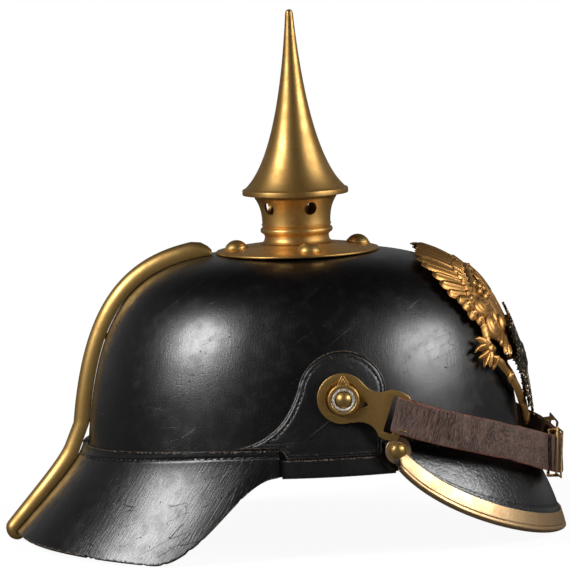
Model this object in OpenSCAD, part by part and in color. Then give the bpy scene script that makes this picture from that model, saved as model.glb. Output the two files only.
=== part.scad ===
// Spiked leather parade helmet with brass fittings, a leather chinstrap and a laced liner.
// Millimetres. X points to the front, Y to the wearer's left and Z up along the spike.
// The origin is the centre of the head opening: on the spike's axis, in the plane of the side rim.

/* [Skull shell] */
// Half the length of the leather shell at its rim, outside
shell_half_length = 106.5; // [100:0.5:114]
// Half the width of the shell at its rim, outside
shell_half_width = 88; // [82:0.5:96]
// Height of the shell above its rim
shell_height = 99.5; // [92:0.5:108]
// Thickness of the shell's leather
shell_wall = 3; // [2:0.25:4]
// Radius of the air hole in the crown
crown_hole_r = 9; // [5:0.5:12]

/* [Front visor] */
// How far the front visor stands out from the rim at the front
front_reach = 20; // [14:0.5:26]
// Height of the visor's side ends above the rim
front_end_z = 14.5; // [10:0.5:18]
// Fall from the side ends to the front edge
front_drop = 55; // [45:1:66]
// Angle round the shell from the front to each end
front_span = 69.5; // [60:0.5:72]
// Thickness of the visor leather
visor_wall = 2.6; // [2:0.1:3.4]

/* [Rear visor] */
// How far the rear visor stands out at the back
rear_reach = 36; // [28:0.5:44]
// How far it stands out beside the ears
rear_side_reach = 17; // [12:0.5:22]
// Depth of its edge below the rim at the back
rear_drop = 34; // [26:0.5:42]
// Depth of its edge below the rim at the sides
rear_side_drop = 41; // [34:0.5:46]
// Angle round the shell from the back to each end
rear_span = 83.4; // [76:0.2:85]
// Height of the sewn band above the rim at the sides
rear_band_z = 13; // [10:0.5:18]

/* [Side patch and rim binding] */
// Thickness of the leather patch under each side post
patch_wall = 0.9; // [0.6:0.1:1.4]
// Radius of the patch round the post
patch_r = 21.2; // [18:0.2:24]
// Height of the rim binding outside
binding_h = 8; // [6:0.5:8.5]
// Thickness of the binding leather
binding_wall = 0.9; // [0.6:0.1:1.4]

/* [Brass trim and spine] */
// Thickness of the pressed brass sheet
sheet = 0.8; // [0.6:0.1:1.2]
// Width of the front visor trim outside
trim_width = 8; // [6:0.5:10]
// Radius of the trim's rounded ends
trim_end_r = 6; // [5:0.5:7]
// Width of the rear spine
spine_width = 10; // [8:0.5:12]
// Height of the rear spine above the shell
spine_height = 7.8; // [6:0.1:9]

/* [Spike] */
// Height of the spike from its flange to its tip
spike_h = 90; // [70:1:110]
// Radius of the spike's flange
flange_r = 25.9; // [24:0.1:28]
// Thickness of the flange's rim
flange_h = 2.6; // [2:0.1:3.4]
// Wall of the hollow spike
spike_wall = 1.2; // [0.8:0.1:1.8]
// Radius of the threaded stud under the spike
spike_stud_r = 3; // [2.5:0.1:4]
// Length of the stud below the flange
spike_stud_l = 14; // [11:0.5:16]

/* [Spike base] */
// Radius of the round base
base_r = 39.9; // [38:0.1:42]
// Wall of the base and the neck
base_wall = 1.2; // [0.8:0.1:1.6]
// Radius of the neck at its narrow middle
neck_r = 16.7; // [15:0.1:18]
// Height of the neck above the base
neck_h = 23.4; // [20:0.2:27]
// Radius of the neck's flared top
neck_top_r = 20; // [18.5:0.1:21.5]
// Radius of the five air holes in the neck
vent_r = 3.15; // [2:0.05:3.5]
// Radius of the circle of base studs
stud_circle_r = 30.5; // [29:0.1:32]
// Radius of a stud's domed head
stud_head_r = 5.8; // [4.5:0.1:6.4]
// Height of a stud's domed head
stud_head_h = 4.2; // [3:0.1:5]
// Turn of the studs about the spike, as screwed on
stud_turn = 10.7; // [0:0.1:20]
// Turn of the air holes about the spike
vent_turn = 6; // [0:1:20]

/* [Front plate] */
// Gap between the shell and the plate at its middle
plate_gap = 3; // [1.5:0.1:3]
// Thickness of the stamped plate
plate_wall = 1.1; // [0.9:0.1:1.6]
// Outer radius of the star
star_r = 27; // [20:0.5:28]
// Gap between the shell and the back of the star
star_gap = 7; // [6:0.1:8]

/* [Side posts and chinstrap] */
// Place of the side posts in front of the spike's axis
post_x = 18.9; // [14:0.1:22]
// Height of the side posts above the rim
post_z = 36; // [34:0.1:40]
// Radius of a side post
post_r = 7.4; // [6.5:0.1:8]
// Radius of the eye in the strap fitting, outside
eye_r = 12.2; // [11.5:0.1:13]
// Thickness of the strap fitting
fitting_wall = 1.5; // [1.2:0.1:2]
// Width of the chinstrap
strap_width = 17; // [14:0.5:18]
// Thickness of the strap leather
strap_wall = 2.4; // [1.8:0.1:2.8]
// Distance of the strap's front from the middle of the front visor
strap_gap = 7.4; // [6:0.2:12]
// Tilt of the resting strap below level
strap_tilt = 23.1; // [20:0.1:24]
// Height of the strap's middle line above the post, across the strap
strap_rise = 2; // [0:0.1:2.5]
// Lean of the strap's face across the front, back from square to its plane
strap_lean = 16; // [8:1:20]
// Angle from the front to each slider, round the strap
slider_turn = 20; // [16:1:24]
// Length of a slider along the strap
slider_len = 12; // [9:0.5:13]
// Play above and below the strap in a slider
slider_play = 0.5; // [0.4:0.1:1]
// Turn of a slider askew on the strap
slider_skew = 16; // [0:1:18]

/* [Liner] */
// Height of the sweatband
sweatband_h = 30; // [20:1:34]
// Thickness of the liner leather
liner_wall = 1.2; // [0.8:0.1:1.6]
// Number of liner tongues
tongues = 9; // [6:1:12]
// Width of a tongue at its root
tongue_w = 44; // [30:1:46]

/* [Hidden] */

// Clearance between pieces that touch, between sewn pieces, and between pieces that turn or slide
touch = 0.05;
seam = 0.1;
run_gap = 0.05;
free_gap = 0.35;
$fn = 64;

leather = "#1b1a1c";
strap_leather = "#4a3128";
liner_leather = "#8a6a4a";
brass = "#c79a4a";
gilt = "#d8a445";
white_metal = "#b9b6ac";

// A cubic curve between the first and last of four points or numbers
function bez(p, u) =
    pow(1 - u, 3) * p[0] + 3 * pow(1 - u, 2) * u * p[1] + 3 * (1 - u) * u * u * p[2] + pow(u, 3) * p[3];
function unit(v) = v / norm(v);
function reversed(v) = [for (i = [len(v) - 1 : -1 : 0]) v[i]];

// A solid through rings of equally many points. Each ring is an outline that runs along one side
// of the section and back along the other, so the end caps are strips.
module skin(rings, loop = false) {
    n = len(rings[0]);
    m = len(rings);
    points = [for (ring = rings) each ring];
    walls = [
        for (i = [0 : m - (loop ? 1 : 2)], j = [0 : n - 1])
            let (a = i * n + j, b = i * n + (j + 1) % n,
                 c = ((i + 1) % m) * n + (j + 1) % n, d = ((i + 1) % m) * n + j)
            each [[a, c, b], [a, d, c]]
    ];
    first_cap = [for (j = [0 : n / 2 - 2]) each [[j, j + 1, n - 2 - j], [j, n - 2 - j, n - 1 - j]]];
    last = (m - 1) * n;
    last_cap = [for (f = first_cap) [last + f[0], last + f[2], last + f[1]]];
    polyhedron(points, loop ? walls : concat(walls, first_cap, last_cap));
}

// The shell's outline from the crown (u = 0) to the rim (u = 1), grown outwards by o
dome_steps = 16;
function dome_x(u, o = 0) = (shell_half_length + o) * bez([0, 0.58, 0.94, 1], u);
function dome_z(u, o = 0) = (shell_height + o) * bez([1, 1, 1.02, 0], u);
function dome_table(o) =
    [for (i = [dome_steps : -1 : 0]) [dome_z(i / dome_steps, o), dome_x(i / dome_steps, o)]];
rim_table = dome_table(0);
crown_table = [for (i = [0 : dome_steps]) [dome_x(i / dome_steps), dome_z(i / dome_steps)]];
// Half length of the shell at height z, and its height at a distance x from the spike's axis
function shell_x_at(z) = lookup(z, rim_table);
function shell_z_at(x) = lookup(x, crown_table);
function width_ratio(o = 0) = (shell_half_width + o) / (shell_half_length + o);

// The full dome grown by o, with its foot lowered by foot. The turned form starts away from the holes.
module dome(o = 0, foot = 0) {
    scale([1, width_ratio(o), 1])
        rotate(45) rotate_extrude($fn = 144)
            polygon(concat(
                [[0, -foot]],
                [for (i = [0 : dome_steps]) [dome_x(i / dome_steps, o), dome_z(i / dome_steps, o)]],
                [[shell_half_length + o, -foot]]));
}
module dome_layer(inner, outer) {
    difference() {
        dome(outer);
        dome(inner, 2);
    }
}

// A point beside the rim: t degrees round from the front, o outwards from the rim line, at height z
function rim_normal(t) = unit([cos(t) / shell_half_length, sin(t) / shell_half_width]);
function rim_point(t, o, z) = let (n = rim_normal(t))
    [shell_half_length * cos(t) + o * n[0], shell_half_width * sin(t) + o * n[1], z];
// How far the shell has drawn in from the rim line at height z, t degrees round
function draw_in(z, t) = (1 - shell_x_at(max(z, 0)) / shell_half_length)
    / norm([cos(t) / shell_half_length, sin(t) / shell_half_width]);

// A visor's section t degrees round: outwards and up, from its top on the shell to its edge. Above
// the rim it stays clear of the shell.
section_steps = 8;
function visor_line(t, top, reach, edge, bend) = let (
    root = visor_wall + seam - draw_in(top, t),
    fall = top - edge,
    out = reach - root)
    [for (i = [0 : section_steps]) let (p = bez([
        [root, top],
        [root + bend[0] * out, top - bend[1] * fall],
        [root + bend[2] * out, top - bend[3] * fall],
        [reach, edge]], i / section_steps))
        p[1] < -1 ? p : [max(p[0], visor_wall + 2 * seam - draw_in(p[1], t)), p[1]]];
function line_normal(line, i) = let (
    a = line[max(i - 1, 0)],
    b = line[min(i + 1, len(line) - 1)],
    d = unit(b - a))
    [-d[1], d[0]];
function inset(line, wall) = [for (i = [0 : len(line) - 1]) line[i] - wall * line_normal(line, i)];
function visor_ring(t, line, wall) =
    [for (p = concat(line, reversed(inset(line, wall)))) rim_point(t, p[0], p[1])];

// Front visor: its edge rises and draws in from the front (s = 0) to its ends (s = 1)
front_bend = [0.11, 0.27, 0.64, 0.42];
front_band_z = 6;
front_end_h = 2.5;
function front_edge(s) = front_end_z - front_drop * pow(max(1 - s * s, 0), 0.6);
function front_out(s) = let (least = visor_wall + seam + 0.3)
    least + (front_reach - least) * sqrt(max(1 - s * s, 0));
function front_top(s) = front_band_z + (front_end_z + front_end_h - front_band_z) * s * s;
function front_line(t) = let (s = abs(t) / front_span)
    visor_line(t, front_top(s), front_out(s), front_edge(s), front_bend);

// Rear visor: full depth behind and beside, then a quick rise to its ends beside the ears
rear_bend = [0.04, 0.2, 0.45, 0.52];
rear_rise = 0.36;
rear_back_band_z = 8.5;
function rear_full(s) = pow(sin(90 * min(1, (1 - s) / rear_rise)), 2);
function rear_side(s) = pow(cos(90 * s), 2);
function rear_edge(s) = -(rear_side_drop + (rear_drop - rear_side_drop) * rear_side(s)) * rear_full(s);
function rear_out(s) = let (least = visor_wall + seam + 0.3)
    least + (rear_side_reach + (rear_reach - rear_side_reach) * rear_side(s) - least) * rear_full(s);
function rear_top(s) = rear_band_z + (rear_back_band_z - rear_band_z) * rear_side(s);
function rear_line(t) = let (s = abs(180 - t) / rear_span)
    visor_line(t, rear_top(s), rear_out(s), rear_edge(s), rear_bend);

visor_steps = 44;

module skull_shell() {
    color(leather)
    difference() {
        dome();
        dome(-shell_wall, 2);
        cylinder(r = crown_hole_r, h = 2 * shell_height);
        base_stud_holes();
        plate_post_holes();
        post_screw_holes();
        spine_bolt_hole();
        trim_rivet_holes();
    }
}

module front_visor() {
    color(leather)
    difference() {
        skin([for (i = [0 : visor_steps])
            let (t = -front_span + 2 * front_span * i / visor_steps)
            visor_ring(t, front_line(t), visor_wall)]);
        trim_rivet_holes();
    }
}

module rear_visor() {
    color(leather)
    skin([for (i = [0 : visor_steps])
        let (t = 180 - rear_span + 2 * rear_span * i / visor_steps)
        visor_ring(t, rear_line(t), visor_wall)]);
}

// Leather patch under a side post: round the post, flared to the visors at its foot
patch_foot = binding_h + free_gap;
patch_rear_foot = rear_band_z + free_gap;
patch_steps = 8;
patch_x = post_x - 0.6;
patch_z = post_z + 0.8;
patch_front_x = shell_half_length * cos(front_span) - 0.8;
module patch_outline() {
    left = -tan(90 - rear_span) * shell_half_width - 2;
    translate([patch_x, patch_z]) circle(r = patch_r);
    polygon(concat(
        [for (i = [0 : patch_steps]) bez([
            [patch_x - patch_r + 0.6, patch_z + 4],
            [patch_x - patch_r - 4, patch_z - 8],
            [patch_x - patch_r - 10, patch_z - 19],
            [patch_x - patch_r - 30, patch_rear_foot]], i / patch_steps)],
        [[left, patch_rear_foot], [left + 4, patch_foot], [patch_front_x, patch_foot]],
        [for (i = [0 : patch_steps]) bez([
            [patch_front_x, patch_foot],
            [patch_front_x, patch_z - 18],
            [patch_x + patch_r + 0.2, patch_z - 10],
            [patch_x + patch_r - 0.6, patch_z + 4]], i / patch_steps)]));
}
module side_patch_right() {
    color(leather)
    difference() {
        intersection() {
            dome_layer(touch, patch_wall + touch);
            rotate([90, 0, 0]) linear_extrude(shell_half_width + 10) patch_outline();
        }
        post_screw_holes();
    }
}
module side_patch_left() {
    mirror([0, 1, 0]) side_patch_right();
}

// Leather binding folded round the rim between the visors
binding_span = [front_span + 2.5, 180 - rear_span - 0.6];
binding_inside_h = 6;
binding_steps = 20;
module rim_binding_left() {
    outer = binding_wall + seam;
    drop = binding_wall + touch;
    lining = -shell_wall - seam;
    inner = lining - binding_wall;
    line = [[outer, binding_h], [outer, 0], [outer - 0.6, -drop], [inner + 0.6, -drop], [inner, 0],
        [inner, binding_inside_h]];
    inside = [[seam, binding_h], [seam, 0], [seam, -touch], [lining, -touch], [lining, 0],
        [lining, binding_inside_h]];
    color(leather)
    skin([for (i = [0 : binding_steps])
        let (t = binding_span[0] + (binding_span[1] - binding_span[0]) * i / binding_steps)
        [for (p = concat(line, reversed(inside))) rim_point(t, p[0] - draw_in(p[1], t), p[1])]]);
}
module rim_binding_right() {
    mirror([0, 1, 0]) rim_binding_left();
}

// Brass trim folded over the front visor's edge, with rounded ends riveted through visor and shell
trim_lip = 5;
trim_steps = 44;
trim_gap = 0.2;
trim_end_t = 0.96 * front_span;
trim_rivet_r = 1.6;
trim_rivet_head_r = 3.4;
trim_rivet_head_h = 2;
trim_rivet_l = 6.7;
trim_rivet_cut = 9;
// The point g back from the edge along a section line
function run(line, i) = i >= len(line) - 1 ? 0 : norm(line[i + 1] - line[i]) + run(line, i + 1);
function back_from_edge(line, g) = [for (k = [0, 1])
    lookup(g, [for (i = [len(line) - 1 : -1 : 0]) [run(line, i), line[i][k]]])];
function back_normal(line, g) = let (
    d = unit(back_from_edge(line, max(g - 0.5, 0)) - back_from_edge(line, g + 0.5)))
    [-d[1], d[0]];
function beside_line(line, g, h) = back_from_edge(line, g) + h * back_normal(line, g);
// One face of the folded sheet, h away from the leather
function trim_face(line, width, lip, h) = let (
    inner = inset(line, visor_wall),
    n = line_normal(line, len(line) - 1),
    d = [n[1], -n[0]],
    e = line[len(line) - 1],
    f = inner[len(line) - 1])
    concat(
        [for (k = [4 : -1 : 1]) beside_line(line, width * k / 4, h)],
        [e + h * n, e + 0.7 * h * (n + d), e + h * d, f + h * d, f + 0.7 * h * (d - n), f - h * n],
        [for (k = [1, 2]) beside_line(inner, lip * k / 2, -h)]);
function trim_ring(t) = let (
    line = front_line(t),
    room = 0.9 * run(line, 0),
    width = min(trim_width, room),
    lip = min(trim_lip, room))
    [for (p = concat(
        trim_face(line, width, lip, trim_gap + sheet),
        reversed(trim_face(line, width, lip, trim_gap))))
        rim_point(t, p[0], p[1])];
// The middle of a rounded end, with +Z out of the leather
trim_end_rise = 0.35;
module at_trim_ends() {
    line = front_line(trim_end_t);
    middle = run(line, 0) / 2;
    n = rim_normal(trim_end_t);
    o = beside_line(line, middle, trim_gap + trim_end_rise);
    m = back_normal(line, middle);
    for (side = [0, 1]) mirror([0, side, 0])
        translate(rim_point(trim_end_t, o[0], o[1]))
            rotate([0, 90 - atan2(m[1], m[0]), atan2(n[1], n[0])])
                children();
}
module trim_rivet_holes() {
    at_trim_ends() translate([0, 0, -trim_rivet_cut])
        cylinder(r = trim_rivet_r + touch, h = trim_rivet_cut + 3 * sheet, $fn = 32);
}
module front_visor_trim() {
    color(brass)
    difference() {
        union() {
            skin([for (i = [0 : trim_steps]) trim_ring(-trim_end_t + 2 * trim_end_t * i / trim_steps)]);
            at_trim_ends() cylinder(r = trim_end_r, h = sheet);
        }
        trim_rivet_holes();
    }
}
module trim_rivets() {
    color(brass)
    at_trim_ends() {
        translate([0, 0, sheet + touch]) dome_head(trim_rivet_head_r, trim_rivet_head_h);
        translate([0, 0, -trim_rivet_l])
            cylinder(r = trim_rivet_r, h = trim_rivet_l + sheet + 0.3, $fn = 32);
    }
}
// A domed head of radius r and height h standing on z = 0
module dome_head(r, h) {
    ball = (r * r + h * h) / (2 * h);
    intersection() {
        translate([0, 0, h - ball]) sphere(r = ball);
        cylinder(r = r, h = h);
    }
}

// Base of the spike: a shallow brass disc, four domed studs and their nuts inside the crown
base_rim_z = shell_z_at(base_r) + 0.1;
base_rim_h = 1;
base_top_z = base_rim_z + 4.4;
neck_foot_r = neck_r + 1.1;
function base_line() = [for (i = [0 : 6]) bez([
    [base_r - 0.4, base_rim_z + base_rim_h],
    [base_r - 8, base_rim_z + base_rim_h + 1.6],
    [neck_foot_r + 6, base_top_z - 1],
    [neck_foot_r - 2, base_top_z]], i / 6)];
function base_z_at(r) = lookup(r, reversed(base_line()));
stud_tilt = 9;
stud_shank_r = 1.8;
stud_hole_r = stud_shank_r + touch;
stud_shank_l = 12;
module at_base_studs() {
    for (k = [0 : 3])
        rotate(stud_turn + 90 * k)
            translate([stud_circle_r, 0, base_z_at(stud_circle_r)])
                rotate([0, stud_tilt, 0])
                    children();
}
module base_stud_holes() {
    at_base_studs()
        translate([0, 0, -stud_shank_l - 4])
            cylinder(r = stud_hole_r, h = stud_shank_l + 8, $fn = 32);
}
module spike_base() {
    color(brass)
    difference() {
        rotate_extrude($fn = 96) polygon(concat(
            [[base_r, base_rim_z]],
            [[base_r, base_rim_z + base_rim_h - 0.3]],
            base_line(),
            reversed([for (p = base_line()) [p[0], max(p[1] - base_wall, base_rim_z)]])));
        base_stud_holes();
    }
}
module base_studs() {
    color(brass)
    at_base_studs() {
        translate([0, 0, 0.15]) dome_head(stud_head_r, stud_head_h);
        translate([0, 0, -stud_shank_l]) cylinder(r = stud_shank_r, h = stud_shank_l + 0.4, $fn = 32);
    }
}
stud_nut_h = 2;
crown_plate_h = 1;
crown_plate_r = 37;
crown_plate_z = (shell_height - shell_wall) / shell_height
    * shell_z_at(crown_plate_r * shell_half_length / shell_half_width + 2) - crown_plate_h - 0.4;
module base_stud_nuts() {
    nut_top = base_z_at(stud_circle_r) - crown_plate_z + 0.8;
    color(brass)
    at_base_studs()
        translate([0, 0, -nut_top - stud_nut_h])
            difference() {
                cylinder(r = 3.6, h = stud_nut_h, $fn = 6);
                translate([0, 0, -1]) cylinder(r = stud_hole_r, h = stud_nut_h + 2, $fn = 32);
            }
}
module crown_plate() {
    color(liner_leather)
    translate([0, 0, crown_plate_z])
    difference() {
        cylinder(r = crown_plate_r, h = crown_plate_h);
        translate([0, 0, -1]) cylinder(r = crown_hole_r, h = crown_plate_h + 2);
        translate([0, 0, -crown_plate_z]) base_stud_holes();
    }
}

// Vented neck: a turned collar with a bead at its foot and a flared lip at its top
neck_foot_z = base_top_z + touch;
neck_top_z = neck_foot_z + neck_h;
bead_r = 1.6;
bead_z = neck_foot_z + 6.2;
vent_z = neck_top_z - 6;
neck_lip_h = 1.4;
function neck_line() = concat(
    [[neck_foot_r, neck_foot_z], [neck_r - 0.9, neck_foot_z + 2], [neck_r - 1, neck_foot_z + 3]],
    [for (a = [-80 : 20 : 80]) [neck_r - 0.6 + bead_r * cos(a), bead_z + bead_r * sin(a)]],
    [[neck_r + 0.2, bead_z + 2.2], [neck_r + 0.2, bead_z + 3], [neck_r, bead_z + 3.4]],
    [for (i = [1 : 6]) bez([
        [neck_r, bead_z + 3.4],
        [neck_r, bead_z + 8],
        [neck_r + 0.8, neck_top_z - 5],
        [neck_top_r, neck_top_z - neck_lip_h]], i / 6)],
    [[neck_top_r, neck_top_z]]);
module spike_neck() {
    bore = neck_r - 1 - base_wall;
    color(brass)
    difference() {
        rotate_extrude($fn = 96) polygon(concat(
            neck_line(),
            [[neck_top_r - 1.2, neck_top_z], [neck_top_r - 1.6, neck_top_z - neck_lip_h],
             [bore, neck_top_z - 9], [bore, neck_foot_z]]));
        for (k = [0 : 4])
            rotate(vent_turn + 72 * k)
                translate([0, 0, vent_z])
                    rotate([0, 90, 0])
                        cylinder(r = vent_r, h = neck_top_r + 5, $fn = 48);
    }
}
// Web and threaded bush at the top of the neck
socket_web_h = 1.2;
socket_h = 12;
socket_r = 6;
socket_top_z = neck_top_z - neck_lip_h;
module spike_socket() {
    bore = neck_r - 1 - base_wall;
    rim_r = bore - touch
        + (neck_top_r - 1.6 - bore) * (9 - neck_lip_h - socket_web_h) / (9 - neck_lip_h);
    color(brass)
    difference() {
        union() {
            translate([0, 0, socket_top_z - socket_web_h])
                cylinder(r1 = rim_r - 0.15, r2 = rim_r + 0.4, h = socket_web_h);
            translate([0, 0, socket_top_z - socket_h])
                cylinder(r = socket_r, h = socket_h);
        }
        translate([0, 0, socket_top_z - socket_h - 1])
            cylinder(r = spike_stud_r + run_gap, h = socket_h + 2);
    }
}

// Spike: spun brass, hollow, closed at its foot by a web that carries the stud
washer_h = 0.5;
washer_r = 11;
washer_z = socket_top_z + touch;
flange_z = neck_top_z + 0.3;
function spike_r_at(u) = bez([flange_r - 0.2, 0.486 * flange_r, 0.2 * flange_r, 0.075 * flange_r], u);
function spike_z_at(u) =
    flange_z + flange_h + 0.2 + (spike_h - flange_h - 2.4) * bez([0, 0.125, 0.512, 1], u);
spike_steps = 16;
module spike() {
    tip_z = flange_z + spike_h;
    outer = [for (i = [0 : spike_steps]) [spike_r_at(i / spike_steps), spike_z_at(i / spike_steps)]];
    inner = [for (i = [0 : spike_steps - 5])
        [spike_r_at(i / spike_steps) - spike_wall, spike_z_at(i / spike_steps) - 0.6 * spike_wall]];
    color(brass)
    rotate_extrude($fn = 96) polygon(concat(
        [[0, flange_z + 0.6], [neck_top_r - 2, flange_z + 0.6], [neck_top_r - 1.4, flange_z],
         [flange_r - 0.3, flange_z], [flange_r, flange_z + 0.3], [flange_r, flange_z + flange_h]],
        outer,
        [[0.06 * flange_r, tip_z - 0.6], [0.03 * flange_r, tip_z - 0.15], [0, tip_z]],
        [[0, inner[len(inner) - 1][1] + spike_wall]],
        reversed(inner),
        [[neck_top_r - 2, flange_z + 0.6 + spike_wall], [0, flange_z + 0.6 + spike_wall]]));
}
module spike_stud() {
    color(brass)
    union() {
        translate([0, 0, flange_z + 0.6 - spike_stud_l])
            cylinder(r = spike_stud_r, h = spike_stud_l - touch);
        translate([0, 0, washer_z + washer_h + touch])
            cylinder(r = 7, h = flange_z + 0.6 - washer_z - washer_h - 2 * touch);
    }
}
module spike_washer() {
    color(strap_leather)
    translate([0, 0, washer_z])
        difference() {
            cylinder(r = washer_r, h = washer_h);
            translate([0, 0, -1]) cylinder(r = spike_stud_r + run_gap, h = washer_h + 2);
        }
}

// Rear spine: a rounded brass channel from the base, down the back and round the visor's edge
spine_gap = 0.2;
spine_steps = 20;
spine_start_u = 0.25;
spine_hook = 6;
function spine_dome_frames() = [for (i = [0 : spine_steps])
    let (u = spine_start_u + (spine_end_u - spine_start_u) * i / spine_steps,
         p = [-dome_x(u), dome_z(u)],
         q = [-dome_x(u + 0.005), dome_z(u + 0.005)],
         d = unit(q - p))
    [p, [d[1], -d[0]]]];
spine_end_u = 0.94;
rear_centre_line = rear_line(180);
function spine_visor_frames() = [for (i = [1 : section_steps])
    let (p = rear_centre_line[i], n = line_normal(rear_centre_line, i))
    [[-shell_half_length - p[0], p[1]], [-n[0], n[1]]]];
// The turn round the visor's edge, then a short lip under it
function spine_hook_frames() = let (
    last = rear_centre_line[section_steps],
    n = line_normal(rear_centre_line, section_steps),
    mid = last - n * visor_wall / 2,
    a0 = atan2(n[1], n[0]))
    concat(
        [for (a = [-45 : -45 : -180])
            let (m = [cos(a0 + a), sin(a0 + a)], p = mid + m * visor_wall / 2)
            [[-shell_half_length - p[0], p[1]], [-m[0], m[1]]]],
        [let (along = unit(last - rear_centre_line[section_steps - 1]),
              p = mid - n * visor_wall / 2 - spine_hook * along)
            [[-shell_half_length - p[0], p[1]], [n[0], -n[1]]]]);
spine_frames = concat(spine_dome_frames(), spine_visor_frames(), spine_hook_frames());
spine_count = len(spine_frames);
// Height and half width of the channel along its length: a rounded end at the top, lower over the
// visor and a low lip under it
function spine_rise(i) = i < 2 ? 0.45 + 0.4 * i
    : i > spine_count - 3 ? 0.25
    : i > spine_count - 5 ? 0.43
    : 1 - 0.25 * max(i - spine_steps, 0) / section_steps;
function spine_half(i) = spine_width / 2 * (i < 3 ? 0.8 + 0.07 * i : 1);
arch_steps = 6;
function arch(half, h, foot) = concat(
    [[-half, foot]],
    [for (k = [0 : arch_steps]) let (a = 180 - 180 * k / arch_steps)
        [half * cos(a), foot + 0.3 + (h - foot - 0.3) * pow(sin(a), 0.75)]],
    [[half, foot]]);
function spine_ring(i) = let (f = spine_frames[i], w = spine_half(i), h = spine_height * spine_rise(i))
    [for (q = concat(
        arch(w, h + spine_gap, spine_gap),
        reversed(arch(w - sheet, h - sheet + spine_gap, spine_gap))))
        [f[0][0] + q[1] * f[1][0], q[0], f[0][1] + q[1] * f[1][1]]];
module rear_spine() {
    color(brass)
    difference() {
        skin([for (i = [0 : spine_count - 1]) spine_ring(i)]);
        spine_bolt_hole();
    }
}
spine_bolt_u = 0.74;
spine_bolt_r = 1.6;
spine_bolt_l = 8;
spine_bolt_top = spine_height - sheet - 0.3;
// Under the shell, where a nut sits clear of its slanting face
nut_top = -1.2 * shell_wall - 0.1;
module at_spine_bolt() {
    p = [dome_x(spine_bolt_u), dome_z(spine_bolt_u)];
    q = [dome_x(spine_bolt_u + 0.01), dome_z(spine_bolt_u + 0.01)];
    translate([-p[0], 0, p[1]]) rotate([0, -atan2(p[1] - q[1], q[0] - p[0]), 0]) children();
}
module spine_bolt_hole() {
    at_spine_bolt()
        translate([0, 0, -spine_bolt_l])
            cylinder(r = spine_bolt_r + touch, h = spine_bolt_l + 2, $fn = 32);
}
module spine_bolt() {
    color(brass)
    at_spine_bolt() {
        translate([0, 0, -spine_bolt_l])
            cylinder(r = spine_bolt_r, h = spine_bolt_l + spine_bolt_top, $fn = 32);
        translate([0, 0, nut_top - 2])
            cylinder(r = 3.4, h = 2, $fn = 6);
    }
}

// Front plate: an eagle with raised wings, and a star that stands in front of its breast.
// The outlines are drawn on a slanted plane that faces the plate, and cut from layers over the dome.
plate_slope = 38;
module facing_front() {
    rotate([0, 90 - plate_slope, 0]) rotate(90) children();
}
// A leaf-shaped feather from the origin along +Y
module feather(l, w) {
    polygon([[-w * 0.35, 0], [-w * 0.5, l * 0.55], [-w * 0.42, l * 0.86], [0, l], [w * 0.42, l * 0.86],
        [w * 0.5, l * 0.55], [w * 0.35, 0]]);
}
eagle_foot_v = -61;
wing_root = [11, -6];
wing_feathers = 9;
module wing() {
    for (i = [0 : wing_feathers - 1]) {
        turn = 1 - 10.4 * i;
        length = 49.5 - 0.5 * (i - 2) * (i - 2);
        translate(wing_root) rotate(turn) feather(length, 10.5);
    }
    translate(wing_root) circle(r = 9);
}
ankle = [32, -14];
module leg() {
    translate([8, -12]) rotate(-98) feather(26, 12);
    translate(ankle) rotate(-62) feather(15, 5);
    translate(ankle) rotate(-88) feather(17, 5);
    translate(ankle) rotate(-118) feather(15, 5);
    translate(ankle) rotate(-165) feather(10, 5);
}
module tail() {
    for (i = [-2 : 2])
        translate([1.5 * i, -24]) rotate(180 + 9 * i) feather(30, 8);
}
// The staff in each claw, curved down to a point below the tail
staff_w = 2.2;
staff_line = [[43, 2], [38, -26], [24, -50], [2, eagle_foot_v]];
module staff() {
    spots = [for (i = [0 : 8]) bez(staff_line, i / 8)];
    polygon(concat(
        [for (i = [0 : 8]) spots[i] + staff_w * route_normal(spots, i)],
        [for (i = [8 : -1 : 0]) spots[i] - staff_w * route_normal(spots, i)]));
    translate(staff_line[0]) circle(r = 3.4);
}
module head() {
    translate([0, 15]) circle(r = 7);
    polygon([[-6.5, -10], [6.5, -10], [5.5, 15], [-6, 15]]);
    polygon([[-5, 19], [-12, 16.5], [-15, 11], [-11, 12], [-5, 10]]);
    polygon([[-6, 20], [-8, 29], [-3, 26.5], [0, 32], [3, 26.5], [8, 29], [6, 20]]);
}
module eagle_outline() {
    for (side = [0, 1]) mirror([side, 0]) {
        wing();
        leg();
        staff();
    }
    tail();
    head();
    translate([0, -14]) circle(r = 14);
}
// Raised forms of the stamped plate: breast, head, wing shoulders and thighs
module eagle_relief() {
    translate([0, -12]) circle(r = 12);
    translate([0, 15]) circle(r = 5.5);
    for (side = [-1, 1]) {
        translate([side * 13, -1]) circle(r = 7);
        translate([side * 20, -14]) circle(r = 5);
    }
}
relief_h = 1.4;
module eagle_plate() {
    color(gilt)
    difference() {
        union() {
            intersection() {
                dome_layer(plate_gap, plate_gap + plate_wall);
                facing_front() linear_extrude(200) eagle_outline();
            }
            intersection() {
                dome_layer(plate_gap + plate_wall - 0.3, plate_gap + plate_wall + relief_h);
                facing_front() linear_extrude(200) eagle_relief();
            }
        }
        plate_post_holes();
    }
}
star_v = -33;
star_points = 8;
module star_outline() {
    for (i = [0 : star_points - 1])
        rotate(360 * i / star_points)
            polygon([[-star_r * 0.34, 0], [-star_r * 0.3, star_r * 0.62], [0, star_r],
                [star_r * 0.3, star_r * 0.62], [star_r * 0.34, 0]]);
}
star_wall = 1.2;
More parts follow.
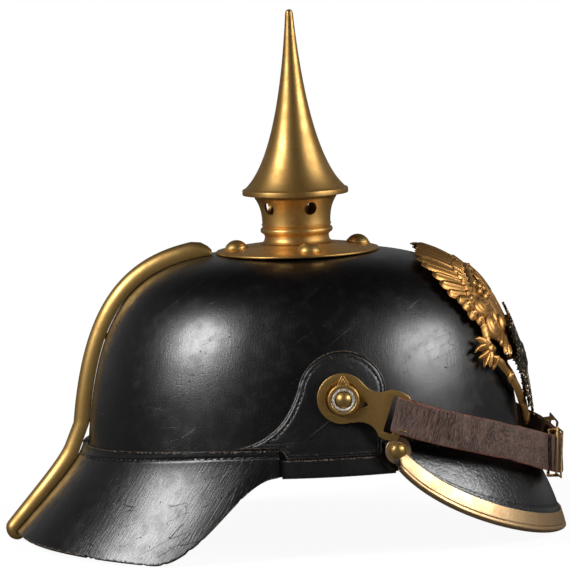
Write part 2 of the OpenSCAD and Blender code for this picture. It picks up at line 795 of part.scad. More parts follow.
module eagle_star() {
    color(white_metal)
    difference() {
        union() {
            intersection() {
                dome_layer(star_gap, star_gap + star_wall);
                facing_front() translate([0, star_v]) linear_extrude(200) star_outline();
            }
            at_front(star_u, star_gap + star_wall - 0.6) dome_head(9, 2.2);
            at_front(star_u, plate_gap + plate_wall + touch)
                cylinder(r = 6, h = star_gap - plate_gap - plate_wall + 0.4);
        }
        plate_post_holes();
    }
}
// A place on the front meridian, o outwards from the shell, with +Z along the shell's normal
star_u = 0.835;
module at_front(u, o) {
    p = [dome_x(u), dome_z(u)];
    q = [dome_x(u + 0.01), dome_z(u + 0.01)];
    a = atan2(q[0] - p[0], p[1] - q[1]);
    translate([p[0], 0, p[1]]) rotate([0, 90 - a, 0]) translate([0, 0, o]) children();
}
plate_post_r = 1.5;
plate_post_us = [0.6, star_u];
plate_post_l = 11;
module plate_post_holes() {
    for (u = plate_post_us)
        at_front(u, -plate_post_l)
            cylinder(r = plate_post_r + touch, h = plate_post_l + plate_gap + plate_wall + 0.6, $fn = 32);
}
module plate_posts() {
    color(brass)
    for (u = plate_post_us)
        at_front(u, plate_gap + plate_wall - plate_post_l)
            cylinder(r = plate_post_r, h = plate_post_l, $fn = 32);
}
module plate_nuts() {
    color(brass)
    for (u = plate_post_us)
        at_front(u, nut_top - 2)
            difference() {
                cylinder(r = 4, h = 2, $fn = 6);
                translate([0, 0, -1]) cylinder(r = plate_post_r + touch, h = 4, $fn = 32);
            }
}

// Side posts: a flanged stem, a head with a pointed nose, a white ring and a domed screw
function side_y_at(x, z, o) = let (long = shell_half_length + o)
    (shell_half_width + o) * sqrt(pow(lookup(z, dome_table(o)) / long, 2) - pow(x / long, 2));
post_base_r = 10.2;
post_foot_y = side_y_at(post_x, post_z - post_base_r, patch_wall) - 0.9;
post_base_h = 1.6;
post_seat_y = post_foot_y + post_base_h;
post_head_h = 2.2;
post_head_y = post_seat_y + fitting_wall + 2 * free_gap;
post_face_y = post_head_y + post_head_h;
screw_r = 1.9;
screw_l = 9;
module at_post_right(y) {
    translate([post_x, -y, post_z]) rotate([90, 0, 0]) children();
}
module post_screw_holes() {
    for (side = [0, 1]) mirror([0, side, 0])
        at_post_right(post_foot_y - 14) cylinder(r = screw_r + touch, h = 20, $fn = 32);
}
module post_head_outline() {
    circle(r = post_r);
    polygon([[-post_r * 0.62, post_r * 0.76], [-3, post_r + 1.2], [0, post_r * 1.5],
        [3, post_r + 1.2], [post_r * 0.62, post_r * 0.76]]);
}
module side_post_right() {
    color(brass)
    difference() {
        union() {
            difference() {
                at_post_right(post_foot_y) cylinder(r = post_base_r, h = post_base_h);
                dome(patch_wall + 2 * touch);
            }
            at_post_right(post_seat_y - 0.4) cylinder(r = post_r, h = post_head_y - post_seat_y + 0.4);
            at_post_right(post_head_y) linear_extrude(post_head_h) post_head_outline();
        }
        at_post_right(post_face_y - 0.9) cylinder(r = 5.4, h = 2);
        at_post_right(post_foot_y - 2) cylinder(r = screw_r + touch, h = 20, $fn = 32);
    }
}
module side_post_left() {
    mirror([0, 1, 0]) side_post_right();
}
module post_ring_right() {
    color(white_metal)
    at_post_right(post_face_y - 0.85)
        difference() {
            cylinder(r = 5.3, h = 1.3);
            translate([0, 0, -1]) cylinder(r = 4, h = 4);
        }
}
module post_ring_left() {
    mirror([0, 1, 0]) post_ring_right();
}
module post_screw_right() {
    color(brass)
    union() {
        at_post_right(post_face_y - 0.85) dome_head(3.9, 2.4);
        at_post_right(post_foot_y - screw_l)
            cylinder(r = screw_r, h = post_face_y - 0.6 - post_foot_y + screw_l, $fn = 32);
    }
}
module post_screw_left() {
    mirror([0, 1, 0]) post_screw_right();
}
post_nut_y = side_y_at(post_x, post_z, -shell_wall) - 3.6;
module post_nut_right() {
    color(brass)
    at_post_right(post_nut_y)
        difference() {
            cylinder(r = 4.2, h = 2.4, $fn = 6);
            translate([0, 0, -1]) cylinder(r = screw_r + touch, h = 5, $fn = 32);
        }
}
module post_nut_left() {
    mirror([0, 1, 0]) post_nut_right();
}

// Strap fitting: an eye round the post with a pointed notch, a waist and a fishtail with the slot
fitting_y = post_seat_y + free_gap;
bar_x = eye_r + 12.5;
slot_w = 5.2;
slot_x = bar_x - slot_w / 2;
slot_l = strap_width + 0.8;
fishtail_x = bar_x + 5.3;
fishtail_half = slot_l / 2 + 2.6;
waist = 5;
// One side of the outline from the eye to the end of the fishtail
function fitting_side(side) = let (
    waist_y = side * waist + max(side, 0) * strap_rise,
    tail_y = strap_rise + side * fishtail_half)
    concat(
        [for (i = [0 : 6]) bez([
            [0.6 * eye_r, 0.78 * side * eye_r],
            [eye_r, waist_y],
            [bar_x - 8.7, waist_y],
            [bar_x - 3.7, tail_y]], i / 6)],
        [[fishtail_x - 1, tail_y], [fishtail_x, tail_y - side]]);
module fitting_holes() {
    circle(r = post_r + run_gap);
    polygon([[post_r * 0.72, -post_r * 0.6], [post_r * 1.62, 0.6 * strap_rise],
        [post_r * 0.72, post_r * 0.6]]);
    translate([slot_x, strap_rise]) square([slot_w, slot_l], center = true);
}
module strap_fitting_right() {
    color(brass)
    at_post_right(fitting_y) rotate(-strap_tilt)
        difference() {
            union() {
                cylinder(r = eye_r, h = fitting_wall);
                linear_extrude(fitting_wall) polygon(concat(fitting_side(1), reversed(fitting_side(-1))));
            }
            translate([0, 0, -1]) linear_extrude(fitting_wall + 2) fitting_holes();
        }
}
module strap_fitting_left() {
    mirror([0, 1, 0]) strap_fitting_right();
}

// Chinstrap: two halves that overlap across the front. Along the strap's own level plane, its middle
// line is an arc about the front's centre, then a curve back to the fitting, round whose end bar it
// folds through the slot.
front_arc_r = 70;
strap_reach = (shell_half_length + front_reach / 2 - post_x) / cos(strap_tilt) + strap_gap;
front_arc_x = strap_reach - front_arc_r;
front_arc_turn = 40;
strap_lap = slider_turn + 7;
fold_gap = 0.2;
fold_r = strap_wall / 2 + fold_gap;
bar_out_y = fitting_y + fitting_wall;
fold_l = 15;
arc_steps = 14;
curve_steps = 12;
function arc_point(a) = [front_arc_x + front_arc_r * cos(a), front_arc_r * sin(a)];
function arc_dir(a) = [-sin(a), cos(a)];
strap_route = let (
    p = arc_point(front_arc_turn),
    d = arc_dir(front_arc_turn),
    root = [fishtail_x + 2, bar_out_y + fold_r],
    back = fitting_y - fold_r,
    under = bar_out_y + fold_r - strap_wall - fold_gap)
    concat(
        [for (i = [0 : arc_steps])
            arc_point(-strap_lap + (front_arc_turn + strap_lap) * i / arc_steps)],
        [for (i = [1 : curve_steps])
            bez([p, p + 26 * d, root + [24, 0], root], i / curve_steps)],
        [for (a = [0 : 45 : 90]) [bar_x - fold_r * sin(a), bar_out_y + fold_r * cos(a)]],
        [for (a = [90 : 45 : 180]) [bar_x - fold_r * sin(a), fitting_y + fold_r * cos(a)]],
        [[fishtail_x + 0.6, back], [fishtail_x + 5, under], [fishtail_x + fold_l, under + 0.3]]);
function route_normal(v, i) =
    let (d = unit(v[min(i + 1, len(v) - 1)] - v[max(i - 1, 0)])) [d[1], -d[0]];
// The left half lies over the right one where they cross, and steps down beside it
lap_step = strap_wall + 0.15;
function lap_out(i) = let (a = -strap_lap + (front_arc_turn + strap_lap) * i / arc_steps)
    a < strap_lap + 3 ? lap_step : a > front_arc_turn ? 0
    : lap_step * (0.5 + 0.5 * cos(180 * (a - strap_lap - 3) / (front_arc_turn - strap_lap - 3)));
strap_edge = 0.5;
// The face leans back across the front and is square again at the fitting
function lean_at(i) = i <= arc_steps ? strap_lean : i >= arc_steps + curve_steps ? 0
    : strap_lean * (0.5 + 0.5 * cos(180 * (i - arc_steps) / curve_steps));
function in_strap_plane(p) = [
    post_x + p[0] * cos(strap_tilt) + (p[2] + strap_rise) * sin(strap_tilt),
    p[1],
    post_z - p[0] * sin(strap_tilt) + (p[2] + strap_rise) * cos(strap_tilt)];
// A ring of the strap across its middle line, raised outwards by out
function strap_ring(i, out) = let (
    m = strap_route[i],
    n = route_normal(strap_route, i),
    a = lean_at(i),
    w = strap_wall / 2,
    half = strap_width / 2)
    [for (q = [[w - strap_edge, -half], [-w + strap_edge, -half], [-w, -half + strap_edge],
               [-w, half - strap_edge], [-w + strap_edge, half], [w - strap_edge, half],
               [w, half - strap_edge], [w, -half + strap_edge]])
        let (r = (q[0] + out) * cos(a) - q[1] * sin(a))
        in_strap_plane([m[0] + r * n[0], m[1] + r * n[1], (q[0] + out) * sin(a) + q[1] * cos(a)])];
module chin_strap_right() {
    color(strap_leather)
    mirror([0, 1, 0]) skin([for (i = [0 : len(strap_route) - 1]) strap_ring(i, 0)]);
}
module chin_strap_left() {
    color(strap_leather)
    skin([for (i = [0 : len(strap_route) - 1]) strap_ring(i, lap_out(i))]);
}
// Small brass staple through the fold
module strap_staple_right() {
    color(brass)
    mirror([0, 1, 0]) strap_staple_left();
}
module strap_staple_left() {
    color(brass)
    in_plane() translate([fishtail_x + 7, bar_out_y + fold_r + strap_wall / 2 + 0.5, -strap_width / 2 + 3])
        cube([5, 0.8, 1.2], center = true);
}
module in_plane() {
    translate([post_x, 0, post_z]) rotate([0, strap_tilt, 0]) translate([0, 0, strap_rise]) children();
}

// Sliders: a flat brass frame over the strap's layers, and one loop from it round behind them
slider_wall = 1.4;
slider_bar = 2.2;
slider_room = 0.35;
module slider_at(side) {
    inner = strap_wall / 2 + slider_room;
    outer = strap_wall / 2 + lap_step + slider_room;
    room_h = strap_width / cos(slider_skew) + slider_len * tan(slider_skew) + 2 * slider_play;
    h = room_h + 2 * slider_wall;
    window = slider_len - 2 * slider_bar;
    color(brass)
    in_plane() translate([front_arc_x, 0, 0]) rotate(side * slider_turn) translate([front_arc_r, 0, 0])
        rotate([0, -strap_lean, 0]) rotate([side * slider_skew, 0, 0])
            difference() {
                translate([-inner - slider_wall, -slider_len / 2, -h / 2])
                    cube([inner + outer + 2 * slider_wall, slider_len, h]);
                translate([-inner, -slider_len, -room_h / 2])
                    cube([inner + outer, 2 * slider_len, room_h]);
                translate([0, -window / 2, -room_h / 2])
                    cube([outer + 2 * slider_wall, window, room_h]);
                for (end = [-1, 1])
                    translate([-inner - 2 * slider_wall, end * slider_len / 2 - window / 2, -h])
                        cube([inner + outer + 2 * slider_wall, window, 2 * h]);
            }
}
module slider_right() {
    slider_at(-1);
}
module slider_left() {
    slider_at(1);
}

// Liner: a leather sweatband sewn inside the rim, tongues from it, and a lace that draws them in
sweatband_z = 1.5;
sweatband_inset = shell_wall + binding_wall + 3 * seam;
sweatband_steps = 72;
sweatband_rows = 3;
function layer_point(t, z, o) = let (x = lookup(z, dome_table(o)))
    [x * cos(t), x * width_ratio(o) * sin(t), z];
module sweatband() {
    rows = [for (i = [0 : sweatband_rows]) sweatband_z + sweatband_h * i / sweatband_rows];
    color(liner_leather)
    skin([for (i = [0 : sweatband_steps - 1]) let (t = 360 * i / sweatband_steps)
        concat(
            [for (z = rows) layer_point(t, z, -sweatband_inset - liner_wall)],
            [for (z = reversed(rows)) layer_point(t, z, -sweatband_inset)])], loop = true);
}
tongue_steps = 8;
tongue_foot_u = 0.86;
tongue_top_u = 0.42;
function tongue_point(t, u, o) = [
    dome_x(u, o) * cos(t), dome_x(u, o) * width_ratio(o) * sin(t), dome_z(u, o)];
module liner_tongues() {
    color(liner_leather)
    for (k = [0 : tongues - 1]) {
        t0 = 360 / tongues * (k + 0.5);
        skin([for (i = [0 : tongue_steps])
            let (s = i / tongue_steps,
                 u = tongue_foot_u + (tongue_top_u - tongue_foot_u) * s,
                 o = -sweatband_inset - liner_wall - 1 - 7 * s,
                 half = tongue_w / 2 / dome_x(u) * 180 / PI * (1 - 0.62 * pow(s, 1.5)))
            concat(
                [for (a = [-1 : 0.5 : 1]) tongue_point(t0 + a * half, u, o)],
                [for (a = [1 : -0.5 : -1]) tongue_point(t0 + a * half, u, o - liner_wall)])]);
    }
}
lace_r = 1.1;
lace_steps = 48;
module liner_lace() {
    o = -sweatband_inset - 2 * liner_wall - 1 - 7 * 0.94 - lace_r - 0.2;
    u = tongue_foot_u + (tongue_top_u - tongue_foot_u) * 0.94;
    color("#d8cdb4")
    skin([for (i = [0 : lace_steps - 1])
        let (t = 360 * i / lace_steps, p = tongue_point(t, u, o))
        [for (a = [300 : -60 : 0]) p + lace_r * [cos(a) * cos(t), cos(a) * sin(t), sin(a)]]], loop = true);
}

skull_shell();
front_visor();
rear_visor();
side_patch_right();
side_patch_left();
rim_binding_right();
rim_binding_left();
front_visor_trim();
trim_rivets();
rear_spine();
spine_bolt();
spike_base();
spike_neck();
spike_socket();
base_studs();
base_stud_nuts();
crown_plate();
spike_washer();
spike();
spike_stud();
eagle_plate();
eagle_star();
plate_posts();
plate_nuts();
side_post_right();
side_post_left();
post_ring_right();
post_ring_left();
post_screw_right();
post_screw_left();
post_nut_right();
post_nut_left();
strap_fitting_right();
strap_fitting_left();
chin_strap_right();
chin_strap_left();
strap_staple_right();
strap_staple_left();
slider_right();
slider_left();
sweatband();
liner_tongues();
liner_lace();
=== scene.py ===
# %% [markdown]
# # A spiked leather parade helmet
#
# The real helmet is leather, boiled and pressed over a form and then lacquered black. Its brass
# fittings are screwed and riveted on. This notebook dresses its CAD model: each piece that shows is
# modelled again in the same place, with the softness, grain and wear of the real one. The CAD model
# is loaded first, as a fixed frame.

import math
from functools import lru_cache

import bpy
import numpy as np
from mathutils import Matrix, Vector


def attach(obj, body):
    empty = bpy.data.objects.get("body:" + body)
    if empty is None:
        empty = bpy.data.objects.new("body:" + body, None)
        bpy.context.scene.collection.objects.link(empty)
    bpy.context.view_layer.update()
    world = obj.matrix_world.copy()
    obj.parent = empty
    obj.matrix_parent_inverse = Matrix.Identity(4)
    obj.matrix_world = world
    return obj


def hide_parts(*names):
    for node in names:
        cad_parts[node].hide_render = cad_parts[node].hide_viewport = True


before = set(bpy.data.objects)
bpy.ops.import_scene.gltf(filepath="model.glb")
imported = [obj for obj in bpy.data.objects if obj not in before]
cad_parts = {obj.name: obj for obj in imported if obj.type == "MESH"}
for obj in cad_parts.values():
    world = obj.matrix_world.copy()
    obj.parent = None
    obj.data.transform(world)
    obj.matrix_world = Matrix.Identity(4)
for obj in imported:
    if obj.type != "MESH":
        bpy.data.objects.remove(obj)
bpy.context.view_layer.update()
MM = 0.001

# %% [markdown]
# ## Camera
#
# The photograph was taken from the helmet's right, a little above its rim and from far away, through
# a long lens. The helmet rests on its two visors, so its spike leans back by two degrees. The model
# keeps the spike upright, and the camera leans instead.

# %% Camera
camera_place = Vector((-6.65, -2000, 290.67)) * MM
camera_aim = Vector((-6.65, 0, 81.9)) * MM
lean = math.radians(2.05)


def turn_to(place, aim):
    """The turn that points a camera or a lamp at place towards aim."""
    return (Vector(aim) - Vector(place)).to_track_quat("-Z", "Y").to_matrix().to_4x4()


bpy.ops.object.camera_add()
camera = bpy.context.object
camera.name = "camera"
camera.matrix_world = (
    Matrix.Translation(camera_place) @ turn_to(camera_place, camera_aim) @ Matrix.Rotation(-lean, 4, "Z"))
camera.data.sensor_fit = "HORIZONTAL"
camera.data.sensor_width = 36
camera.data.lens = 259.2
bpy.context.scene.camera = camera
bpy.context.scene.view_settings.view_transform = "Standard"
print("camera at", [round(c, 3) for c in camera_place], "with a lens of", camera.data.lens, "mm")

# %% [markdown]
# ## Colours and nodes
#
# Every material and the studio itself are built from nodes. A few small functions keep that short.
# One turns a colour picked on screen into the linear values that Blender renders with. One adds a
# node with its settings and its links. The others are the sums that come back often.

# %% Colours and nodes
def colour(code):
    """The linear values of a colour code, with an alpha of 1."""
    parts = [int(code[i:i + 2], 16) / 255 for i in (1, 3, 5)]
    return (*[p / 12.92 if p <= 0.04045 else ((p + 0.055) / 1.055) ** 2.4 for p in parts], 1)


def add_node(tree, kind, settings=None, links=None):
    """A node with its settings and incoming links. A key that is a number is a socket's place."""
    made = tree.nodes.new(kind)
    for key, value in (settings or {}).items():
        if isinstance(key, int) or key in made.inputs:
            made.inputs[key].default_value = value
        else:
            setattr(made, key, value)
    for key, source in (links or {}).items():
        tree.links.new(source, made.inputs[key])
    return made


def soft_step(tree, value, low, high, to=(0.0, 1.0)):
    """A soft step: the first of to where the value is low, and the second where it is high."""
    return add_node(tree, "ShaderNodeMapRange", {
        "interpolation_type": "SMOOTHSTEP", "From Min": low, "From Max": high,
        "To Min": to[0], "To Max": to[1]}, {"Value": value}).outputs["Result"]


def times(tree, a, b):
    """One pattern where another allows it, or at a fixed share."""
    if isinstance(b, (int, float)):
        return add_node(tree, "ShaderNodeMath", {"operation": "MULTIPLY", 1: b}, {0: a}).outputs[0]
    return add_node(tree, "ShaderNodeMath", {"operation": "MULTIPLY"}, {0: a, 1: b}).outputs[0]


def most(tree, *patterns):
    """The greatest of the patterns at each place."""
    top = patterns[0]
    for pattern in patterns[1:]:
        top = add_node(tree, "ShaderNodeMath", {"operation": "MAXIMUM"}, {0: top, 1: pattern}).outputs[0]
    return top


print("black lacquer in linear values:", [round(c, 4) for c in colour("#131215")])

# %% [markdown]
# ## Studio
#
# Black lacquer and brass show little of their own colour: they show what they reflect. The photo has
# two soft lights, a round one beyond the helmet's rear and a wider one beyond its front. Each lies as a
# soft pool on the leather and as a band on the spike. The rest of the room is dark, so the leather
# stays black. Only what lies low behind the helmet is a dim grey. The camera sees it as plain white.

# %% Room
world = bpy.data.worlds.new("studio")
bpy.context.scene.world = world
world.use_nodes = True
room = world.node_tree
room.nodes.clear()
ray = add_node(room, "ShaderNodeLightPath")
direction = add_node(room, "ShaderNodeTexCoord")
along = add_node(room, "ShaderNodeSeparateXYZ", links={0: direction.outputs["Generated"]})
backdrop = soft_step(room, along.outputs["Y"], -0.2, 0.95, (0.008, 0.18))
height = soft_step(room, along.outputs["Z"], 0.75, 0.2, (0.1, 1.0))
strength = most(room, ray.outputs["Is Camera Ray"], times(room, backdrop, height))
sky = add_node(room, "ShaderNodeBackground", {"Color": (1, 1, 1, 1)}, {"Strength": strength})
add_node(room, "ShaderNodeOutputWorld", links={"Surface": sky.outputs[0]})
print("the room has", len(room.nodes), "nodes")

# %% Soft lights
def soft_light(name, turn, rise, size, brightness):
    """A soft elliptical light 1.8 m away: turn from the camera towards the helmet's front, and rise."""
    t, r = math.radians(turn), math.radians(rise)
    spot = Vector((math.sin(t) * math.cos(r), -math.cos(t) * math.cos(r), math.sin(r))) * 1.8
    bpy.ops.object.light_add(type="AREA")
    lamp = bpy.context.object
    lamp.name = name
    lamp.matrix_world = Matrix.Translation(spot + Vector((0, 0, 0.06))) @ turn_to(spot, (0, 0, 0))
    lamp.data.shape = "ELLIPSE"
    lamp.data.size, lamp.data.size_y = size
    lamp.data.energy = brightness * math.pi * math.pi / 4 * size[0] * size[1]
    return lamp


soft_light("light_behind", -58, 31, (0.75, 0.75), 17)
soft_light("light_before", 70, 22, (1.3, 0.55), 11)

# %% [markdown]
# The helmet stands on a pale floor, on the lowest point of the front visor's trim and the two sides of
# the rear visor. A line laid under those points gives the floor its slope. The floor lights the
# helmet as pale paper would, and is darker where metal and lacquer mirror it. What the camera sees of
# it is lifted to the backdrop's white, but for the shadow.

# %% Floor
low = np.array([(v.co.x, v.co.z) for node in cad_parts.values() for v in node.data.vertices])
front, slope = low[np.argmin(np.where(low[:, 0] > 0, low[:, 1], 1))], 0.0
for _ in range(4):
    rear = low[low[:, 0] < 0]
    slope = ((rear[:, 1] - front[1]) / (rear[:, 0] - front[0])).max()
    ahead = low[low[:, 0] > 0]
    front = ahead[np.argmin(ahead[:, 1] - slope * ahead[:, 0])]
bpy.ops.mesh.primitive_plane_add(size=6)
floor = bpy.context.object
floor.name = "floor"
for corner in floor.data.vertices:
    corner.co.z = front[1] + slope * (corner.co.x - front[0]) - 0.0002

pale = bpy.data.materials.new("pale_floor")
pale.use_nodes = True
tree = pale.node_tree
tree.nodes.clear()
ray = add_node(tree, "ShaderNodeLightPath")
shade = add_node(tree, "ShaderNodeMapRange", {"To Min": 0.8, "To Max": 0.12}, {
    "Value": ray.outputs["Is Glossy Ray"]})
paper = add_node(tree, "ShaderNodeBsdfDiffuse", links={"Color": shade.outputs["Result"]})
faint = add_node(tree, "ShaderNodeBsdfDiffuse", {"Color": (0.12, 0.12, 0.12, 1)})
place = add_node(tree, "ShaderNodeTexCoord")
far = add_node(tree, "ShaderNodeVectorMath", {"operation": "LENGTH"}, {0: place.outputs["Object"]})
lift = soft_step(tree, far.outputs["Value"], 0.15, 0.7, (0.94, 1.0))
glow = add_node(tree, "ShaderNodeEmission", {"Color": (1, 1, 1, 1)}, {"Strength": lift})
lifted = add_node(tree, "ShaderNodeAddShader", links={0: faint.outputs[0], 1: glow.outputs[0]})
seen = add_node(tree, "ShaderNodeMixShader", links={
    0: ray.outputs["Is Camera Ray"], 1: paper.outputs[0], 2: lifted.outputs[0]})
add_node(tree, "ShaderNodeOutputMaterial", links={"Surface": seen.outputs[0]})
floor.data.materials.append(pale)
print("floor slope in degrees:", round(math.degrees(math.atan(slope)), 2))

# %% [markdown]
# ## Patterns
#
# Leather and brass are never one even colour. Their patterns come from noise that is laid in real
# millimetres: soft spots for stains and wear, fine nets of lines for cracks, and bumps with a real
# depth. Patterns that follow a piece, such as wear along its edge, read the piece's own map.

# %% Patterns
def in_mm(tree, long=(1, 1, 1), turn=(0, 0, 0)):
    """A place on the piece in mm. The pattern is drawn out by long along axes turned by turn."""
    place = add_node(tree, "ShaderNodeTexCoord")
    return add_node(tree, "ShaderNodeMapping", {
        "vector_type": "TEXTURE", "Rotation": [math.radians(a) for a in turn],
        "Scale": [size * MM for size in long]}, {"Vector": place.outputs["Object"]}).outputs["Vector"]


def spots(tree, where, size, low, high, detail=4.0):
    """Soft spots of that size in mm: 0 where the noise is below low, 1 above high."""
    noise = add_node(tree, "ShaderNodeTexNoise", {"Scale": 1 / size, "Detail": detail}, {"Vector": where})
    return soft_step(tree, noise.outputs["Fac"], low, high)


def crack_net(tree, where, size, width):
    """A net of fine lines around cells of that size in mm: 1 on a line and 0 beside it."""
    wander = add_node(tree, "ShaderNodeTexNoise", {"Scale": 0.6 / size, "Detail": 3.0}, {"Vector": where})
    moved = add_node(tree, "ShaderNodeVectorMath", {"operation": "MULTIPLY_ADD", 1: (size,) * 3}, {
        0: wander.outputs["Color"], 2: where})
    cells = add_node(tree, "ShaderNodeTexVoronoi", {"feature": "DISTANCE_TO_EDGE", "Scale": 1 / size}, {
        "Vector": moved.outputs["Vector"]})
    return soft_step(tree, cells.outputs["Distance"], width / size, 0.0)


def mixed(tree, share, under, over):
    """Under where share is 0 and over where it is 1. Each is a colour code or a socket."""
    settings, links = {"data_type": "RGBA"}, {0: share}
    for socket, value in ((6, under), (7, over)):
        if isinstance(value, str):
            settings[socket] = colour(value)
        else:
            links[socket] = value
    return add_node(tree, "ShaderNodeMix", settings, links).outputs[2]


def paint(tree, shader, tone, *bumps):
    """The shader's colour, and its bumps: each pattern with its depth in mm, below zero for a dent."""
    tree.links.new(tone, shader.inputs["Base Color"])
    normal = None
    for pattern, depth in bumps:
        normal = add_node(tree, "ShaderNodeBump", {"invert": depth < 0, "Distance": abs(depth) * MM}, {
            "Height": pattern, **({"Normal": normal} if normal else {})}).outputs["Normal"]
    tree.links.new(normal, shader.inputs["Normal"])


def new_finish(name, base, roughness, metallic=0.0, **more):
    """A material with one principled shader."""
    finish = bpy.data.materials.new(name)
    finish.use_nodes = True
    tree = finish.node_tree
    tree.nodes.clear()
    shader = add_node(tree, "ShaderNodeBsdfPrincipled", {
        "Base Color": colour(base), "Roughness": roughness, "Metallic": metallic, **more})
    add_node(tree, "ShaderNodeOutputMaterial", links={"Surface": shader.outputs["BSDF"]})
    return finish, tree, shader


def wear_map(tree):
    """How worn the piece is at each point, from 0 to about 1."""
    return add_node(tree, "ShaderNodeAttribute", {"attribute_name": "wear"}).outputs["Fac"]


def set_between(tree, shader, socket, pattern, low, high):
    """The shader's socket runs from low to high with the pattern."""
    value = add_node(tree, "ShaderNodeMapRange", {"To Min": low, "To Max": high}, {"Value": pattern})
    tree.links.new(value.outputs["Result"], shader.inputs[socket])


print("patterns ready")

# %% [markdown]
# ## Lacquered leather
#
# The shell, visors, patches and bindings are cowhide about 3 mm thick, boiled, blackened and given
# several coats of shellac lacquer. The lacquer is smooth and half glossy with a very fine grain. A
# century has cracked it in hairlines that follow how each piece was bent, and rubbed it through to
# brown leather along the cut edges. Each piece says how worn it is, point by point, in a value named
# wear.

# %% Lacquered leather
def lacquered_leather(name, gloss, fibre_turn, fibre_depth, crack_turn, crack_share, wrinkle=0.0):
    """Lacquered leather whose fibres and cracks run at their own angles, in degrees, on its side."""
    coat, sheen = 0.7, 0.6
    finish, tree, shader = new_finish(name, "#070608", gloss, **{
        "IOR": 1.5, "Coat Weight": coat, "Coat Roughness": gloss, "Coat IOR": 1.5})
    place = in_mm(tree)
    fibres = spots(tree, in_mm(tree, (7, 4, 0.55), (0, -fibre_turn, 0)), 1.0, 0.25, 0.75, 2.0)
    grain = spots(tree, place, 0.75, 0.25, 0.75, 2.0)
    drawn = in_mm(tree, (9, 6, 1.5), (0, -crack_turn, 0))
    cracks = times(tree, crack_net(tree, drawn, 4.0, 0.07), spots(tree, place, 19, 0.55, 0.62))
    cracks = times(tree, cracks, crack_share)
    pits = times(tree, spots(tree, place, 1.5, 0.71, 0.75, 1.0), spots(tree, place, 20, 0.52, 0.6))
    scratches = times(tree, spots(tree, in_mm(tree, (60, 20, 0.5), (0, -36, 0)), 1.0, 0.69, 0.74, 1.0),
                      spots(tree, place, 24, 0.52, 0.62))
    frayed = add_node(tree, "ShaderNodeMath", {"operation": "MULTIPLY_ADD", 1: 0.8}, {
        0: spots(tree, place, 1.3, 0.3, 0.7), 2: wear_map(tree)})
    rubbed = soft_step(tree, frayed.outputs[0], 1.1, 1.6)
    tone = mixed(tree, spots(tree, place, 17, 0.3, 0.75), "#030303", "#070607")
    tone = mixed(tree, times(tree, scratches, 0.35), tone, "#6b6560")
    brown = mixed(tree, spots(tree, place, 0.9, 0.35, 0.7), "#2c201a", "#86705c")
    tone = mixed(tree, rubbed, tone, brown)
    broken = most(tree, cracks, pits)
    dull = most(tree, broken, rubbed, times(tree, spots(tree, place, 6, 0.4, 0.8), 0.25))
    set_between(tree, shader, "Roughness", dull, gloss, 0.75)
    set_between(tree, shader, "Specular IOR Level", broken, sheen, 0.1)
    set_between(tree, shader, "Coat Weight", dull, coat, 0.0)
    bumps = [(spots(tree, place, 26, 0.2, 0.8, 1.0), 0.35), (fibres, fibre_depth), (grain, 0.02),
             (broken, -0.08), (scratches, -0.02), (rubbed, -0.1)]
    if wrinkle:
        bumps.insert(1, (spots(tree, in_mm(tree, (1.6, 1, 1)), 1.7, 0.3, 0.7, 2.0), wrinkle))
    paint(tree, shader, tone, *bumps)
    return finish


shell_leather = lacquered_leather("black_lacquered_leather", 0.31, 82, 0.02, 20, 0.3)
visor_leather = lacquered_leather("black_lacquered_visor", 0.31, 58, 0.05, 25, 0.7)
peak_leather = lacquered_leather("black_lacquered_peak", 0.3, -60, 0.03, 10, 0.3, 0.1)
patch_leather = lacquered_leather("black_lacquered_patch", 0.4, 75, 0.03, 10, 0.5, 0.05)
print("leathers:", [m.name for m in (shell_leather, visor_leather, peak_leather, patch_leather)])

# %% [markdown]
# The chinstrap is a plainer leather, dyed dark brown and never lacquered. It has dried out into short
# cross-ways fibres and scales, and its edges are rubbed to a reddish brown. The liner is tan sheepskin
# leather, smooth and matt, darker where heads have rested. The lace is twisted linen, and the
# stitches are waxed linen thread.

# %% Strap, liner and thread
strap_leather, tree, shader = new_finish("dry_strap_leather", "#3d2a24", 0.6)
place = in_mm(tree)
strap_slope = (0, 23.1, 0)
fibres = spots(tree, in_mm(tree, (0.5, 0.5, 5), strap_slope), 1.0, 0.3, 0.7, 3.0)
scales = crack_net(tree, in_mm(tree, (0.8, 0.8, 2.2), strap_slope), 1.2, 0.16)
scales = times(tree, scales, spots(tree, place, 8, 0.4, 0.6))
edges = times(tree, wear_map(tree), spots(tree, place, 3, 0.3, 0.65))
tone = mixed(tree, fibres, "#38251f", "#7a5d52")
tone = mixed(tree, times(tree, spots(tree, place, 9, 0.4, 0.8), 0.4), tone, "#8d746b")
tone = mixed(tree, times(tree, scales, 0.6), tone, "#1c1311")
tone = mixed(tree, times(tree, edges, 0.85), tone, "#8a4a30")
set_between(tree, shader, "Roughness", fibres, 0.38, 0.6)
paint(tree, shader, tone, (fibres, 0.1), (scales, -0.1))

liner_leather, tree, shader = new_finish("tan_liner_leather", "#9b7650", 0.66)
place = in_mm(tree)
tone = mixed(tree, spots(tree, place, 24, 0.35, 0.7), "#a4805a", "#6f5036")
tone = mixed(tree, times(tree, crack_net(tree, place, 2.4, 0.2), 0.5), tone, "#57402c")
paint(tree, shader, tone, (spots(tree, place, 9, 0.3, 0.7), 0.3), (crack_net(tree, place, 2.4, 0.3), -0.07))

lace_linen, tree, shader = new_finish("twisted_linen", "#cbbd9e", 0.85)
strands = add_node(tree, "ShaderNodeTexWave", {"Scale": 1.0, "Distortion": 1.0}, {
    "Vector": in_mm(tree, turn=(0, 40, 30))}).outputs["Fac"]
paint(tree, shader, mixed(tree, strands, "#8f8061", "#d9cdb2"), (strands, 0.15))

